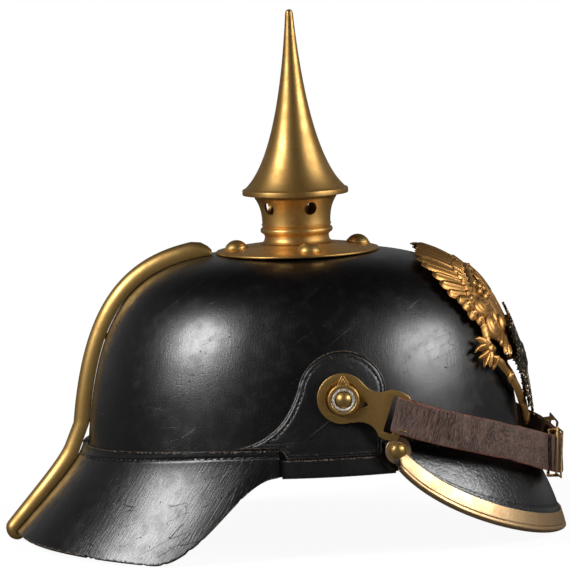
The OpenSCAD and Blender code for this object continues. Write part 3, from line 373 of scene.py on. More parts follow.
waxed_thread, tree, shader = new_finish("waxed_black_thread", "#2b2725", 0.45)
place = in_mm(tree)
# The lighter spots on the dark thread are painted glints.
tone = mixed(tree, spots(tree, place, 2.2, 0.5, 0.7), "#141213", "#554c45")
paint(tree, shader, tone, (spots(tree, place, 0.3, 0.3, 0.7), 0.03))
print("soft finishes:", [m.name for m in (strap_leather, liner_leather, lace_linen, waxed_thread)])

# %% [markdown]
# ## Brass
#
# The spike, neck, base and spine are sheet brass, spun or pressed, polished long ago and gone a
# brownish gold since. Brushing leaves faint lines, and spinning leaves fine rings round the axis that
# draw out each highlight. The eagle is stamped from thin brass and gilt by fire, which gives a warmer
# gold; its recesses are darkened with painted shade. The ring under the side post's screw and the star
# are white metal.

# %% Brass and white metal
def brass_finish(name, bright, brown, line_length, roughness,
                 line_depth=0.008, stain=0.5, hollow_shade=0.0, spun=0.0):
    """Brass with lines drawn out by line_length, stains, specks, and painted shade in its recesses if it is
    stamped.
    """
    finish, tree, shader = new_finish(name, bright, roughness, 0.95)
    place = in_mm(tree)
    lines = spots(tree, in_mm(tree, line_length), 0.35, 0.25, 0.75, 3.0)
    stains = times(tree, spots(tree, place, 9, 0.35, 0.75), stain)
    specks = times(tree, spots(tree, place, 0.9, 0.62, 0.7), 0.5)
    tone = mixed(tree, stains, bright, brown)
    tone = mixed(tree, times(tree, lines, 0.12), tone, brown)
    tone = mixed(tree, specks, tone, brown)
    if hollow_shade:
        # Painted shade: the colour darkens towards dark brown where the relief closes over a recess.
        shade = add_node(tree, "ShaderNodeAmbientOcclusion", {"samples": 8, "Distance": 2.0 * MM})
        painted_shade = add_node(tree, "ShaderNodeMapRange", {
            "From Min": 0.75, "From Max": 0.2, "To Max": hollow_shade}, {"Value": shade.outputs["AO"]})
        tone = mixed(tree, painted_shade.outputs["Result"], tone, "#4a2f12")
    set_between(tree, shader, "Roughness", most(tree, stains, specks), roughness, roughness + 0.2)
    paint(tree, shader, tone, (lines, line_depth), (spots(tree, place, 14, 0.2, 0.8), 0.05))
    if spun:
        shader.inputs["Anisotropic"].default_value = spun
        shader.inputs["Anisotropic Rotation"].default_value = 0.25
        round_axis = add_node(tree, "ShaderNodeTangent", {"direction_type": "RADIAL", "axis": "Z"})
        tree.links.new(round_axis.outputs[0], shader.inputs["Tangent"])
    return finish


spun_brass = brass_finish("spun_brass", "#e0b46c", "#966a30", (50, 50, 1), 0.42, spun=0.4)
pressed_brass = brass_finish("pressed_brass", "#dcb46e", "#976f38", (1, 3, 3), 0.4)
trim_brass = brass_finish("rolled_brass_trim", "#e2be90", "#ab8452", (2, 2, 1), 0.38, stain=0.4)
fitting_brass = brass_finish("cast_brass", "#d9b06c", "#9a7038", (1, 1, 1), 0.42, 0.02)
fire_gilt = brass_finish("fire_gilt_brass", "#dba662", "#a87438", (1, 1, 1), 0.4, 0.03, 0.35, 0.95)

white_metal, tree, shader = new_finish("white_metal", "#d8d2c6", 0.5, 0.75)
place = in_mm(tree)
tone = mixed(tree, spots(tree, place, 1.4, 0.4, 0.7), "#ebe6da", "#b4ac9c")
paint(tree, shader, tone, (spots(tree, place, 1.1, 0.3, 0.7), 0.12))

cut_silver, tree, shader = new_finish("cut_white_metal", "#b9b4a8", 0.24, 1.0)
place = in_mm(tree)
facets = add_node(tree, "ShaderNodeTexVoronoi", {"Scale": 0.8}, {"Vector": place})
tone = mixed(tree, spots(tree, place, 2.2, 0.35, 0.7), "#8f8571", "#3a3022")
paint(tree, shader, tone, (facets.outputs["Distance"], 0.5))
metals = (spun_brass, pressed_brass, trim_brass, fitting_brass, fire_gilt, white_metal, cut_silver)
print("metals:", [m.name for m in metals])

# %% [markdown]
# ## The helmet's own forms
#
# The dressed pieces have to lie where the CAD pieces lie, so the few curves that shape the helmet are
# written out again here, in millimetres. The shell is one curve turned round the spike's axis and
# narrowed from side to side. Each visor is a section that changes as it goes round the rim.

# %% Lines and arcs
def curve(points, u):
    """A cubic curve between the first and last of four points."""
    a, b, c, d = (np.asarray(p, float) for p in points)
    return (1 - u) ** 3 * a + 3 * (1 - u) ** 2 * u * b + 3 * (1 - u) * u * u * c + u ** 3 * d


def curve_points(points, steps):
    """The same curve in a plane, as a row of points."""
    return curve(points, np.linspace(0, 1, steps)[:, None])


def arc(middle, r, first, last, steps, rise=None):
    """Points of an arc between two angles in radians. It is oval where the radius upwards is rise."""
    return [(middle[0] + r * math.cos(a), middle[1] + (rise or r) * math.sin(a))
            for a in np.linspace(first, last, steps)]


def square_to(way):
    """A step of length 1 in the plane, to the left of the way."""
    return np.array([-way[1], way[0]]) / np.hypot(*way)


def runs_along(line):
    """How far along a line each of its points lies."""
    return np.concatenate([[0], np.cumsum(np.linalg.norm(np.diff(line, axis=0), axis=1))])


def read_at(run, along, rows):
    """What the rows of a table say at a distance along, between one row and the next."""
    return np.stack([np.interp(run, along, column) for column in np.transpose(rows)], -1)


# %% Curves of the shell and the visors
half_length, half_width, shell_height, shell_wall = 106.5, 88.0, 99.5, 3.0
visor_wall, seam = 2.6, 0.1
front_span, front_reach, front_end_z, front_drop = 69.5, 20.0, 14.5, 55.0
rear_span, rear_reach, rear_side_reach, rear_drop, rear_side_drop = 83.4, 36.0, 17.0, 34.0, 41.0
least_reach = visor_wall + seam + 0.3


def dome_x(u, out=0.0):
    """Half the length of the shell, grown by out, a share u of the way from its crown to its rim."""
    return (half_length + out) * curve([0, 0.58, 0.94, 1], u)


def dome_z(u, out=0.0):
    """The height that belongs to dome_x."""
    return (shell_height + out) * curve([1, 1, 1.02, 0], u)


def ratio(out=0.0):
    """How much narrower than long the shell is."""
    return (half_width + out) / (half_length + out)


dome_u = np.linspace(1, 0, 401)


def shell_x_at(z, out=0.0):
    """Half the length of the shell at a height, grown by out."""
    return np.interp(z, dome_z(dome_u, out), dome_x(dome_u, out))


def rim_normal(turn):
    """The level way out from the rim at an angle from the front."""
    n = np.array([math.cos(math.radians(turn)) / half_length, math.sin(math.radians(turn)) / half_width])
    return n / np.hypot(*n)


def rim_point(turn, out, z):
    """A point beside the rim: turn in degrees from the front, out from the rim line, at height z."""
    n, a = rim_normal(turn), math.radians(turn)
    return half_length * math.cos(a) + out * n[0], half_width * math.sin(a) + out * n[1], z


def draw_in(z, turn):
    """How far the shell has drawn in from its rim line at height z."""
    a = math.radians(turn)
    steep = math.hypot(math.cos(a) / half_length, math.sin(a) / half_width)
    return (1 - shell_x_at(np.maximum(z, 0)) / half_length) / steep


def visor_section(turn, top, reach, edge, bend):
    """Points of a visor's outer face from its top to its edge, and how far along each one is."""
    root = visor_wall + seam - draw_in(top, turn)
    fall, out = top - edge, reach - root
    line = curve_points([(root, top), (root + bend[0] * out, top - bend[1] * fall),
                         (root + bend[2] * out, top - bend[3] * fall), (reach, edge)], 80)
    clear = visor_wall + 2 * seam - draw_in(line[:, 1], turn)
    line[:, 0] = np.where(line[:, 1] < -1, line[:, 0], np.maximum(line[:, 0], clear))
    return line, runs_along(line)


@lru_cache(maxsize=None)
def front_section(turn):
    """The front visor's section: deepest in front, and shallow where it ends beside the temples."""
    s = min(abs(turn) / front_span, 1)
    return visor_section(turn, 6 + (front_end_z + 2.5 - 6) * s * s,
                         least_reach + (front_reach - least_reach) * math.sqrt(1 - s * s),
                         front_end_z - front_drop * (1 - s * s) ** 0.6, (0.11, 0.27, 0.64, 0.42))


@lru_cache(maxsize=None)
def rear_section(turn):
    """The rear visor's section: it stands out furthest at the back and ends beside the ears."""
    s = min(abs(180 - turn) / rear_span, 1)
    full = math.sin(math.pi / 2 * min(1, (1 - s) / 0.36)) ** 2
    back = math.cos(math.pi / 2 * s) ** 2
    reach = rear_side_reach + (rear_reach - rear_side_reach) * back
    drop = rear_side_drop + (rear_drop - rear_side_drop) * back
    return visor_section(turn, 13 - 4.5 * back, least_reach + (reach - least_reach) * full,
                         -drop * full, (0.04, 0.2, 0.45, 0.52))


def on_section(section, run, lift=0.0):
    """The place on a section a distance from its top, lifted off the leather by lift."""
    line, along = section
    before, here, after = read_at(run + np.array([-0.6, 0, 0.6]), along, line)
    return here + lift * square_to(after - before)


print("visor depths in mm:", round(front_section(0.0)[1][-1], 1), round(rear_section(180.0)[1][-1], 1))

# %% [markdown]
# ## Ways of making a piece
#
# Three ways make nearly everything here. Sheet and leather start as a flat grid, whose points are laid
# over the form like a wet hide over its block, and then get their thickness. Turned brass starts as a
# drawn outline that is spun round the axis. Cut plates start as a flat outline that is filled, given
# its thickness and a rounded edge. These helpers do the steps that repeat.

# %% Handling a piece
def only(piece):
    """The piece alone is selected and active."""
    bpy.ops.object.select_all(action="DESELECT")
    piece.select_set(True)
    bpy.context.view_layer.objects.active = piece


def modified(piece, kind, **settings):
    """A modifier added and applied."""
    only(piece)
    step = piece.modifiers.new(kind.lower(), kind)
    for key, value in settings.items():
        setattr(step, key, value)
    bpy.ops.object.modifier_apply(modifier=step.name)


def closed_up(piece, gap=0.004):
    """Doubled points merged, and the faces of the closed form turned outwards."""
    only(piece)
    bpy.ops.object.mode_set(mode="EDIT")
    bpy.ops.mesh.select_all(action="SELECT")
    bpy.ops.mesh.remove_doubles(threshold=gap * MM)
    bpy.ops.mesh.normals_make_consistent(inside=False)
    bpy.ops.object.mode_set(mode="OBJECT")


def bend_each(piece, place):
    """Every point moved by place, which takes and gives millimetres."""
    for vertex in piece.data.vertices:
        vertex.co = Vector(place(*(vertex.co / MM))) * MM
    piece.data.update()


def joined(name, pieces):
    """The pieces as one, under that name."""
    only(pieces[0])
    for piece in pieces:
        piece.select_set(True)
    bpy.ops.object.join()
    pieces[0].name = name
    return pieces[0]


def dressed(piece, body, finish, slot, *nodes, smooth=40):
    """The finished piece gets its shading, finish and body, and hides the CAD nodes that it stands for.
    slot is not used.
    """
    only(piece)
    bpy.ops.object.shade_smooth_by_angle(angle=math.radians(smooth))
    piece.data.materials.clear()
    piece.data.materials.append(finish)
    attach(piece, body)
    if nodes:
        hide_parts(*nodes)
    print(piece.name, "has", len(piece.data.polygons), "faces")
    return piece


# %% Sheets laid over a form
def laid_sheet(name, columns, rows, place, middle=(0, 0, 30)):
    """A grid laid point by point. place takes two shares from 0 to 1 and gives x, y, z and the wear."""
    bpy.ops.mesh.primitive_grid_add(x_subdivisions=columns, y_subdivisions=rows, size=1)
    piece = bpy.context.object
    piece.name = name
    laid = np.array([[*place(v.co.x + 0.5, v.co.y + 0.5), 0][:4] for v in piece.data.vertices])
    piece.data.vertices.foreach_set("co", (laid[:, :3] * MM).ravel())
    wear = piece.data.attributes.new("wear", "FLOAT", "POINT")
    wear.data.foreach_set("value", laid[:, 3].astype(np.float32))
    piece.data.update()
    centre = Vector(middle) * MM
    if sum(f.normal.dot(f.center - centre) * f.area for f in piece.data.polygons) < 0:
        piece.data.flip_normals()
    return piece


def thickened(piece, wall, round_edge=0.0):
    """The sheet gets its wall behind the face that shows, and a rounded cut edge."""
    modified(piece, "SOLIDIFY", thickness=wall * MM, offset=-1, use_even_offset=True)
    if round_edge:
        modified(piece, "BEVEL", width=round_edge * MM, segments=2,
                 limit_method="ANGLE", angle_limit=math.radians(55))


# %% Outlines, turned pieces and cut plates
def drawn_lines(name, lines, closed=False):
    """Lines through points in mm, flat or in space, as one curve."""
    bpy.ops.curve.primitive_nurbs_path_add()
    piece = bpy.context.object
    piece.name = name
    piece.data.splines.clear()
    for line in lines:
        spline = piece.data.splines.new("POLY")
        spline.points.add(len(line) - 1)
        for spot, p in zip(spline.points, line):
            spot.co = (*[c * MM for c in (*p, 0)[:3]], 1)
        spline.use_cyclic_u = closed
    return piece


def turned(name, outline, steps=128, closed=True):
    """An outline of radius and height in mm, spun round the Z axis."""
    piece = drawn_lines(name, [[(r, 0, z) for r, z in outline]], closed)
    bpy.ops.object.convert(target="MESH")
    bpy.ops.object.mode_set(mode="EDIT")
    bpy.ops.mesh.select_all(action="SELECT")
    bpy.ops.mesh.spin(steps=steps, angle=2 * math.pi, center=(0, 0, 0), axis=(0, 0, 1))
    bpy.ops.object.mode_set(mode="OBJECT")
    closed_up(piece)
    return piece


def cut_plate(name, outlines, thickness, edge, place=Matrix.Identity(4)):
    """Flat outlines in mm, filled, with a rounded edge, set down on the plane of its place."""
    piece = drawn_lines(name, outlines, True)
    piece.data.dimensions = "2D"
    piece.data.fill_mode = "BOTH"
    piece.data.extrude = (thickness / 2 - edge) * MM
    piece.data.bevel_depth = edge * MM
    piece.data.bevel_resolution = 2
    piece.data.offset = -edge * MM
    bpy.ops.object.convert(target="MESH")
    closed_up(piece)
    piece.data.transform(Matrix.Translation((0, 0, thickness / 2 * MM)))
    piece.data.transform(place)
    return piece


def rolled_wire(name, points, radius, closed=False, taper=None):
    """A round wire along points in mm. taper gives its share of the radius at each point."""
    piece = drawn_lines(name, [points], closed)
    piece.data.bevel_depth = radius * MM
    piece.data.bevel_resolution = 3
    piece.data.use_fill_caps = True
    if taper is not None:
        for spot, share in zip(piece.data.splines[0].points, taper):
            spot.radius = share
    bpy.ops.object.convert(target="MESH")
    closed_up(piece, 0.001)
    return piece


def sliced(piece, step):
    """Flat faces cut into a grid of strips, so that the plate can be bent."""
    only(piece)
    low = [min(v.co[k] for v in piece.data.vertices) for k in (0, 1)]
    high = [max(v.co[k] for v in piece.data.vertices) for k in (0, 1)]
    bpy.ops.object.mode_set(mode="EDIT")
    for k in (0, 1):
        across = (1, 0, 0) if k == 0 else (0, 1, 0)
        for i in range(1, int((high[k] - low[k]) / step / MM) + 1):
            bpy.ops.mesh.select_all(action="SELECT")
            spot = [low[k] + i * step * MM if axis == k else 0 for axis in range(3)]
            bpy.ops.mesh.bisect(plane_co=spot, plane_no=across)
    bpy.ops.object.mode_set(mode="OBJECT")


# %% Stitches
def even_points(path, pitch):
    """Places along a path in mm at an even pitch, each with its direction."""
    along = runs_along(path)
    runs = np.arange(pitch / 2, along[-1], pitch)
    behind, spot, ahead = (read_at(runs + step, along, path) for step in (-0.2, 0, 0.2))
    way = ahead - behind
    return spot, way / np.linalg.norm(way, axis=1)[:, None]


def copies(name, model, places):
    """One modelled thing copied to each place, each copy with its own mesh, and joined."""
    made = []
    for place in places:
        copy = bpy.data.objects.new(name, model.data.copy())
        copy.data.transform(place)
        bpy.context.collection.objects.link(copy)
        made.append(copy)
    bpy.data.objects.remove(model)
    return joined(name, made)


def frame_at(spot, way, up):
    """The turn and place that lay +X along way, with +Z towards up, at spot in mm."""
    x = Vector(way).normalized()
    z = Vector(up)
    z = (z - z.dot(x) * x).normalized()
    turn = Matrix((x, z.cross(x), z)).transposed().to_4x4()
    return Matrix.Translation(Vector(spot) * MM) @ turn


def stitched(name, path, up, pitch=3.3, length=2.5, radius=0.42):
    """A row of stitches along a path in mm, each bedded in the leather at its two ends."""
    bpy.ops.mesh.primitive_uv_sphere_add(segments=8, ring_count=6, radius=MM)
    stitch = bpy.context.object
    bend_each(stitch, lambda x, y, z: (x * length / 2, y * radius, z * radius - 0.35 * x * x))
    places = []
    for i, (spot, way) in enumerate(zip(*even_points(path, pitch))):
        tilt = Matrix.Rotation(math.radians(9 * (-1) ** i), 4, "Z")
        places.append(frame_at(spot, way, up(spot)) @ tilt)
    return copies(name, stitch, places)


print("tools ready")

# %% [markdown]
# ## Leather shell
#
# The shell is one piece of hide, 3 mm thick, drawn over a block. Its outline is spun round the axis
# with its inner face, from the air hole in the crown down to the rim, and then narrowed from side to
# side, since a head is longer than it is wide.

# %% Shell
crown_hole_r = 9.0
shares = np.linspace(0, 1, 61)
outer, inner = ([(dome_x(u, out), dome_z(u, out)) for u in shares if dome_x(u, out) > crown_hole_r]
                for out in (0.0, -shell_wall))
edge = [(half_length - 0.5, 0.0), (half_length - shell_wall + 0.5, 0.0)]
outer[-1] = (half_length, 0.5)
inner[-1] = (half_length - shell_wall, 0.5)
top = [(crown_hole_r, dome_z(0, -shell_wall)), (crown_hole_r, shell_height)]
shell = turned("skull_shell_leather", top + outer + edge + inner[::-1], 192)
bend_each(shell, lambda x, y, z: (x, y * ratio(), z))
dressed(shell, "helmet", shell_leather, "black_leather", "skull_shell")

# %% [markdown]
# ## Visors
#
# Each visor is a curved sheet sewn to the rim. It is laid as a grid: one way goes round the rim and
# the other down the section, closer together at both edges. The seam is pressed into the leather as
# a groove, the stitches lie in it, and the cut edges are rounded and worn.

# %% Visors
def chips(seed, count, depth):
    """A share of nicks along an edge: mostly none, with a chip here and there."""
    chance = np.random.default_rng(seed).random(count)
    return np.where(chance > 0.86, depth * (chance - 0.86) / 0.14, 0.06 * depth * chance)


def leather_visor(name, section, middle, span, groove_run, groove_depth, seed):
    """A visor laid out from its section. groove_run gives the groove's run for a turn and a length."""
    columns = 240
    nick = chips(seed, columns + 1, 0.9)

    def place(s, t):
        turn = round(middle + span * (2 * s - 1), 4)
        line = section(turn)
        whole = line[1][-1]
        run = whole * (0.5 - 0.5 * math.cos(math.pi * t))
        groove = math.exp(-((run - groove_run(turn, whole)) / 0.55) ** 2)
        run -= nick[round(s * columns)] * max(0, 1 - (whole - run) / 2)
        r, z = on_section(line, run, -groove_depth * groove)
        from_edge = min(run, whole - run)
        return *rim_point(turn, r, z), max(0, 1 - from_edge / 1.6)

    piece = laid_sheet(name, columns, 72, place, (0, 0, 10))
    thickened(piece, visor_wall, 0.45)
    return piece


def seam_run(turn, whole):
    """The rear visor's seam lies 3 mm under its top edge beside the ears, and lower at the back."""
    return 3.0 + 2.2 * math.cos(math.pi / 2 * min(1, abs(180 - turn) / rear_span)) ** 2


rear_visor = leather_visor("rear_visor_leather", rear_section, 180, rear_span, seam_run, 0.55, 5)
dressed(rear_visor, "helmet", visor_leather, "black_leather", "rear_visor")
front_visor = leather_visor("front_visor_leather", front_section, 0, front_span,
                            lambda turn, whole: whole - 10.8, 0.3, 8)
dressed(front_visor, "helmet", peak_leather, "black_leather", "front_visor")

# %% Stitches along the visors
def along_visor(section, middle, span, steps, run_at, lift):
    """Places along a visor at a run that run_at gives for a turn and a length."""
    places = []
    for turn in np.linspace(middle - span, middle + span, steps):
        line = section(round(float(turn), 4))
        places.append(rim_point(turn, *on_section(line, run_at(turn, line[1][-1]), lift)))
    return places


def off_axis(p):
    """Outwards from the helmet, level."""
    return Vector((p[0] / half_length ** 2, p[1] / half_width ** 2, 0.0)).normalized()


rear_seam = along_visor(rear_section, 180, 0.97 * rear_span, 300, seam_run, -0.3)
front_seam = along_visor(front_section, 0, 0.9 * front_span, 260, lambda turn, whole: 2.6, 0.05)
for name, seam_line in (("rear_visor_stitches", rear_seam), ("front_visor_stitches", front_seam)):
    dressed(stitched(name, seam_line, off_axis), "helmet", waxed_thread, "lace")

# %% [markdown]
# ## Side patches and rim binding
#
# A thinner leather patch takes the rub of each strap fitting. It is laid over the shell from a flat
# outline, round the post above and flared to the two visors below, with a scored line and a row of
# stitches round its edge. The binding is a strip folded over the rim between the visors.

# %% Side patches
post_x, post_z, patch_wall, patch_r = 18.9, 36.0, 0.9, 21.2
patch_x, patch_z = post_x - 0.6, post_z + 0.8
patch_foot, patch_rear_foot = 8.35, 13.35
patch_columns, stitch_inset = 360, 2.7


def side_y_at(x, z, out):
    """How far to the side the dome, grown by out, lies at x and z."""
    long = half_length + out
    across = (shell_x_at(z, out) / long) ** 2 - (x / long) ** 2
    return (half_width + out) * np.sqrt(np.maximum(across, 0))


def patch_outline():
    """The patch's outline in x and z, at an even pitch of about half a millimetre."""
    left = -math.tan(math.radians(90 - rear_span)) * half_width - 2
    front = half_length * math.cos(math.radians(front_span)) - 0.8
    crown = arc((patch_x, patch_z), patch_r, math.radians(11), math.radians(169), 40)
    flank = curve_points([(patch_x - patch_r + 0.4, patch_z + 4), (patch_x - patch_r - 4, patch_z - 8),
                          (patch_x - patch_r - 10, patch_z - 19),
                          (patch_x - patch_r - 30, patch_rear_foot)], 30)
    front_flank = curve_points([(front, patch_foot), (front, patch_z - 18),
                                (patch_x + patch_r + 0.2, patch_z - 10),
                                (patch_x + patch_r - 0.4, patch_z + 4)], 24)
    foot = [(left, patch_rear_foot), (left + 4, patch_foot)]
    ring = np.array([*crown, *flank, *foot, *front_flank, crown[0]])
    along = runs_along(ring)
    return read_at(np.linspace(0, along[-1], patch_columns + 1), along, ring)


patch_ring = patch_outline()
patch_middle = np.array([12.0, 18.0])
edge_runs = [0, 0.12, 0.3, 0.55, 0.8, 1.05, 1.3, 1.7, 2.1, 2.4, 2.7, 3.0, 3.4, 4.2, 6, 9, 13, 17.8, 21.9]
ring_shares = 1 - np.array(edge_runs) / 22


def patch_place(s, t):
    """The patch in rings from its edge inwards, thinned at the edge, scored and pressed for stitches."""
    row, column = round(t * (len(ring_shares) - 1)), round(s * patch_columns) % patch_columns
    spot = patch_middle + (patch_ring[column] - patch_middle) * ring_shares[row]
    inside = np.hypot(*(patch_ring - spot).T).min()
    rise = min(1, inside / 0.5) ** 0.5
    score = 0.3 * math.exp(-((inside - 1.05) / 0.3) ** 2)
    score += 0.35 * math.exp(-((inside - stitch_inset) / 0.45) ** 2)
    out = 0.05 + patch_wall * rise - score
    wear = 1.15 if inside < 0.35 else 0.75 * max(0, 1 - abs(inside - 1.9) / 0.9)
    return spot[0], -side_y_at(*spot, out), spot[1], wear


def mirrored_copy(piece, name):
    """The same piece on the wearer's left."""
    only(piece)
    bpy.ops.object.duplicate()
    twin = bpy.context.object
    twin.name = name
    twin.data.transform(Matrix.Scale(-1, 4, (0, 1, 0)))
    twin.data.flip_normals()
    return twin


patch_right = laid_sheet("side_patch_right_leather", patch_columns, len(ring_shares) - 1, patch_place)
inwards = square_to(np.gradient(patch_ring, axis=0)[::2][:patch_columns // 2].T).T
edge_line = patch_ring[:patch_columns:2]
stitch_line = edge_line + stitch_inset * inwards
stitch_line = stitch_line[(stitch_line[:, 1] > patch_foot + 8) & (edge_line[:, 0] > -22)]
stitch_path = [(x, -side_y_at(x, z, patch_wall - 0.12), z) for x, z in stitch_line]
stitches_right = stitched("side_patch_right_stitches", stitch_path, off_axis, 2.4, 1.7, 0.3)
closed_up(patch_right, 0.0005)
patch_left = mirrored_copy(patch_right, "side_patch_left_leather")
stitches_left = mirrored_copy(stitches_right, "side_patch_left_stitches")
dressed(patch_right, "helmet", patch_leather, "black_leather", "side_patch_right")
dressed(patch_left, "helmet", patch_leather, "black_leather", "side_patch_left")
for stitches in (stitches_right, stitches_left):
    dressed(stitches, "helmet", waxed_thread, "lace")

# %% Rim binding
binding_turns = (front_span - 3, 180 - rear_span - 0.6)
binding_line = [(1.0, 8.0), (1.05, 4.0), (1.0, 0.6), (0.5, -0.75), (-0.6, -0.95), (-2.9, -0.95),
                (-3.7, -0.7), (-4.1, 0.2), (-4.1, 6.0)]
binding_run = runs_along(binding_line)
front_fade, least_rise = 2.5, 0.15


def binding_place(s, t):
    """The strip from outside, round under the rim and up inside. It is low where the visor covers it."""
    turn = binding_turns[0] + (binding_turns[1] - binding_turns[0]) * s
    run = binding_run[-1] * t
    r, z = read_at(run, binding_run, binding_line)
    if r > 0 and z > 0.5:
        z = 0.5 + (z - 0.5) * min(1, max(least_rise, (turn - front_span) / front_fade))
    wear = 0.9 if run < 0.6 else max(0.2, 0.8 - abs(z + 0.5) / 2)
    return *rim_point(turn, r - draw_in(z, turn), z), wear


binding_left = laid_sheet("rim_binding_left_leather", 60, 40, binding_place, (20, 86, 4))
thickened(binding_left, 0.85, 0.2)
binding_right = mirrored_copy(binding_left, "rim_binding_right_leather")
dressed(binding_left, "helmet", patch_leather, "black_leather", "rim_binding_left")
dressed(binding_right, "helmet", patch_leather, "black_leather", "rim_binding_right")

# %% [markdown]
# ## Visor trim
#
# The trim is a strip of brass rolled over the front visor's edge: a flat face outside, a round fold
# with a pressed line above it, and a lip inside. Each end is a round tab with a domed rivet.

# %% Visor trim
trim_end_turn, trim_width, trim_lip, sheet = 0.96 * front_span, 8.0, 5.0, 0.8
trim_out = 0.2 + sheet


@lru_cache(maxsize=None)
def slant(turn):
    """How much longer a strip square to the edge is when it is measured down the section."""
    a, b = (rim_point(t, *front_section(round(t, 4))[0][-1]) for t in (turn - 0.5, turn + 0.5))
    return math.dist(a, b) / math.hypot(a[0] - b[0], a[1] - b[1])


def trim_place(s, t):
    """The strip: its face from the top edge down, half a turn round the edge, and the lip inside."""
    turn = round(trim_end_turn * (2 * s - 1), 4)
    line = front_section(turn)
    whole = line[1][-1]
    width, lip = min(trim_width * slant(turn), 0.8 * whole), min(trim_lip, 0.8 * whole)
    if t <= 0.5:
        back = width * (1 - t / 0.5)
        ridge = 0.2 * math.exp(-((back - 1.3) / 0.3) ** 2)
        return rim_point(turn, *on_section(line, whole - back, trim_out - ridge))
    if t > 0.75:
        return rim_point(turn, *on_section(line, whole - lip * (t - 0.75) / 0.25, -visor_wall - trim_out))
    edge_spot, ahead = on_section(line, whole), on_section(line, whole - 0.5)
    down = (edge_spot - ahead) / np.hypot(*(edge_spot - ahead))
    out = square_to(down)
    a = math.pi * (t - 0.5) / 0.25
    half = visor_wall / 2 + trim_out
    across = math.copysign(abs(math.cos(a)) ** 0.8, math.cos(a))
    below = trim_out * 1.1 * math.sin(a) ** 0.8
    return rim_point(turn, *(edge_spot - out * visor_wall / 2 + out * half * across + down * below))


trim = laid_sheet("front_visor_trim_brass", 220, 80, trim_place, (0, 0, 20))
if max(trim.data.polygons, key=lambda f: f.center.x).normal.x < 0:
    trim.data.flip_normals()
thickened(trim, sheet, 0.2)


def at_trim_end(side):
    """+Z points out of the leather at the trim's end, on the right for -1 and on the left for 1."""
    line = front_section(round(trim_end_turn, 4))
    middle = line[1][-1] / 2 - 1
    low_end, here, high_end = (on_section(line, middle, lift) for lift in (0, 0.55, 1))
    out, rise = high_end - low_end
    n = rim_normal(trim_end_turn)
    x, y, z = rim_point(trim_end_turn, *here)
    return frame_at((x, side * y, z), (0, 0, 1), (out * n[0], side * out * n[1], rise))


tab_outline = arc((0, 0), 6.5, 0, 2 * math.pi, 49)[:-1]
tabs = [cut_plate("tab", [tab_outline], sheet, 0.3, at_trim_end(side)) for side in (-1, 1)]
trim = joined("front_visor_trim_brass", [trim] + tabs)
dressed(trim, "helmet", trim_brass, "brass", "front_visor_trim")


# %% Rivets and studs
def domed(name, r, h, shank_r, shank_l, collar=0.35):
    """A domed head on z = 0 with a small collar, and its shank below."""
    ball = (r * r + h * h) / (2 * h)
    reach = math.asin((r - collar) / ball)
    head = [(ball * math.sin(a), h - ball + ball * math.cos(a)) for a in np.linspace(0, reach, 16)]
    last_z = head[-1][1]
    foot = [(r - 0.1, last_z - 0.1), (r, last_z - 0.3), (r - 0.1, 0)]
    return turned(name, head + foot + [(shank_r, 0), (shank_r, -shank_l), (0, -shank_l)], 48, False)


trim_rivets = copies("trim_rivets_brass", domed("rivet", 4.1, 2.6, 1.6, 7.4, 0.5),
                     [at_trim_end(side) @ Matrix.Translation((0, 0, 0.85 * MM)) for side in (-1, 1)])
dressed(trim_rivets, "helmet", pressed_brass, "brass", "trim_rivets")

# %% [markdown]
# ## Rear spine
#
# The spine is a strip of sheet brass raised to a round channel. It runs from under the base down the
# back, out along the rear visor and round its edge, flatter at both ends where it is fastened.

# %% Rear spine
spine_width, spine_height = 10.0, 7.8


def spine_centre():
    """The spine's middle line on the leather: place and outward direction, in x and z, from the top."""
    down = []
    for u in np.linspace(0.25, 0.94, 70):
        ahead = dome_x(u + 0.005) - dome_x(u), dome_z(u + 0.005) - dome_z(u)
        down.append((-dome_x(u), dome_z(u), ahead[1], ahead[0]))
    line = rear_section(180.0)
    whole = line[1][-1]
    visor = []
    for run in np.linspace(6, whole, 45):
        (r, z), (r1, z1) = on_section(line, run), on_section(line, run, 1)
        visor.append((-half_length - r, z, -(r1 - r), z1 - z))
    edge_spot, n = on_section(line, whole), on_section(line, whole, 1) - on_section(line, whole)
    middle = edge_spot - n * visor_wall / 2
    hook = []
    for a in np.linspace(0, -math.pi, 13)[1:]:
        m = n * math.cos(a) + square_to(n) * math.sin(a)
        p = middle + m * visor_wall / 2
        hook.append((-half_length - p[0], p[1], -m[0], m[1]))
    back = edge_spot - on_section(line, whole - 1)
    for step in np.linspace(0, 6, 6)[1:]:
        p = middle - n * visor_wall / 2 - back * step
        hook.append((-half_length - p[0], p[1], n[0], -n[1]))
    table = np.array(down + visor + hook)
    table[:, 2:] /= np.hypot(table[:, 2], table[:, 3])[:, None]
    return table, len(down) + len(visor)


spine_table, hook_start = spine_centre()
spine_rows = len(spine_table) - 1


def spine_place(s, t):
    """A round channel across the middle line, low at its top end and where it turns round the edge."""
    i = round(s * spine_rows)
    x, z, nx, nz = spine_table[i]
    share = np.interp(i, [0, 1, 3, 6, 70, hook_start, hook_start + 6, hook_start + 10, spine_rows],
                      [0.3, 0.55, 0.85, 1, 1, 0.75, 0.43, 0.25, 0.25])
    half = spine_width / 2 * min(1, 0.8 + 0.02 * i)
    a = math.pi * t
    rise = 0.5 + (spine_height * share - 0.3) * math.sin(a) ** 0.75
    if t in (0, 1):
        rise = 0.2
    return x + rise * nx, half * math.cos(a), z + rise * nz


spine = laid_sheet("rear_spine_brass", spine_rows, 24, spine_place, (0, 0, 30))
thickened(spine, sheet, 0.15)
dressed(spine, "helmet", pressed_brass, "brass", "rear_spine")

# %% [markdown]
# ## Base, neck and spike
#
# All three are spun from sheet brass, so each is an outline turned round the axis. The base is a
# shallow disc held by four domed studs. The neck stands on it, with a bead at its foot, five air
# holes and a flared lip. The spike screws into the neck, and its flange stands out over the lip.

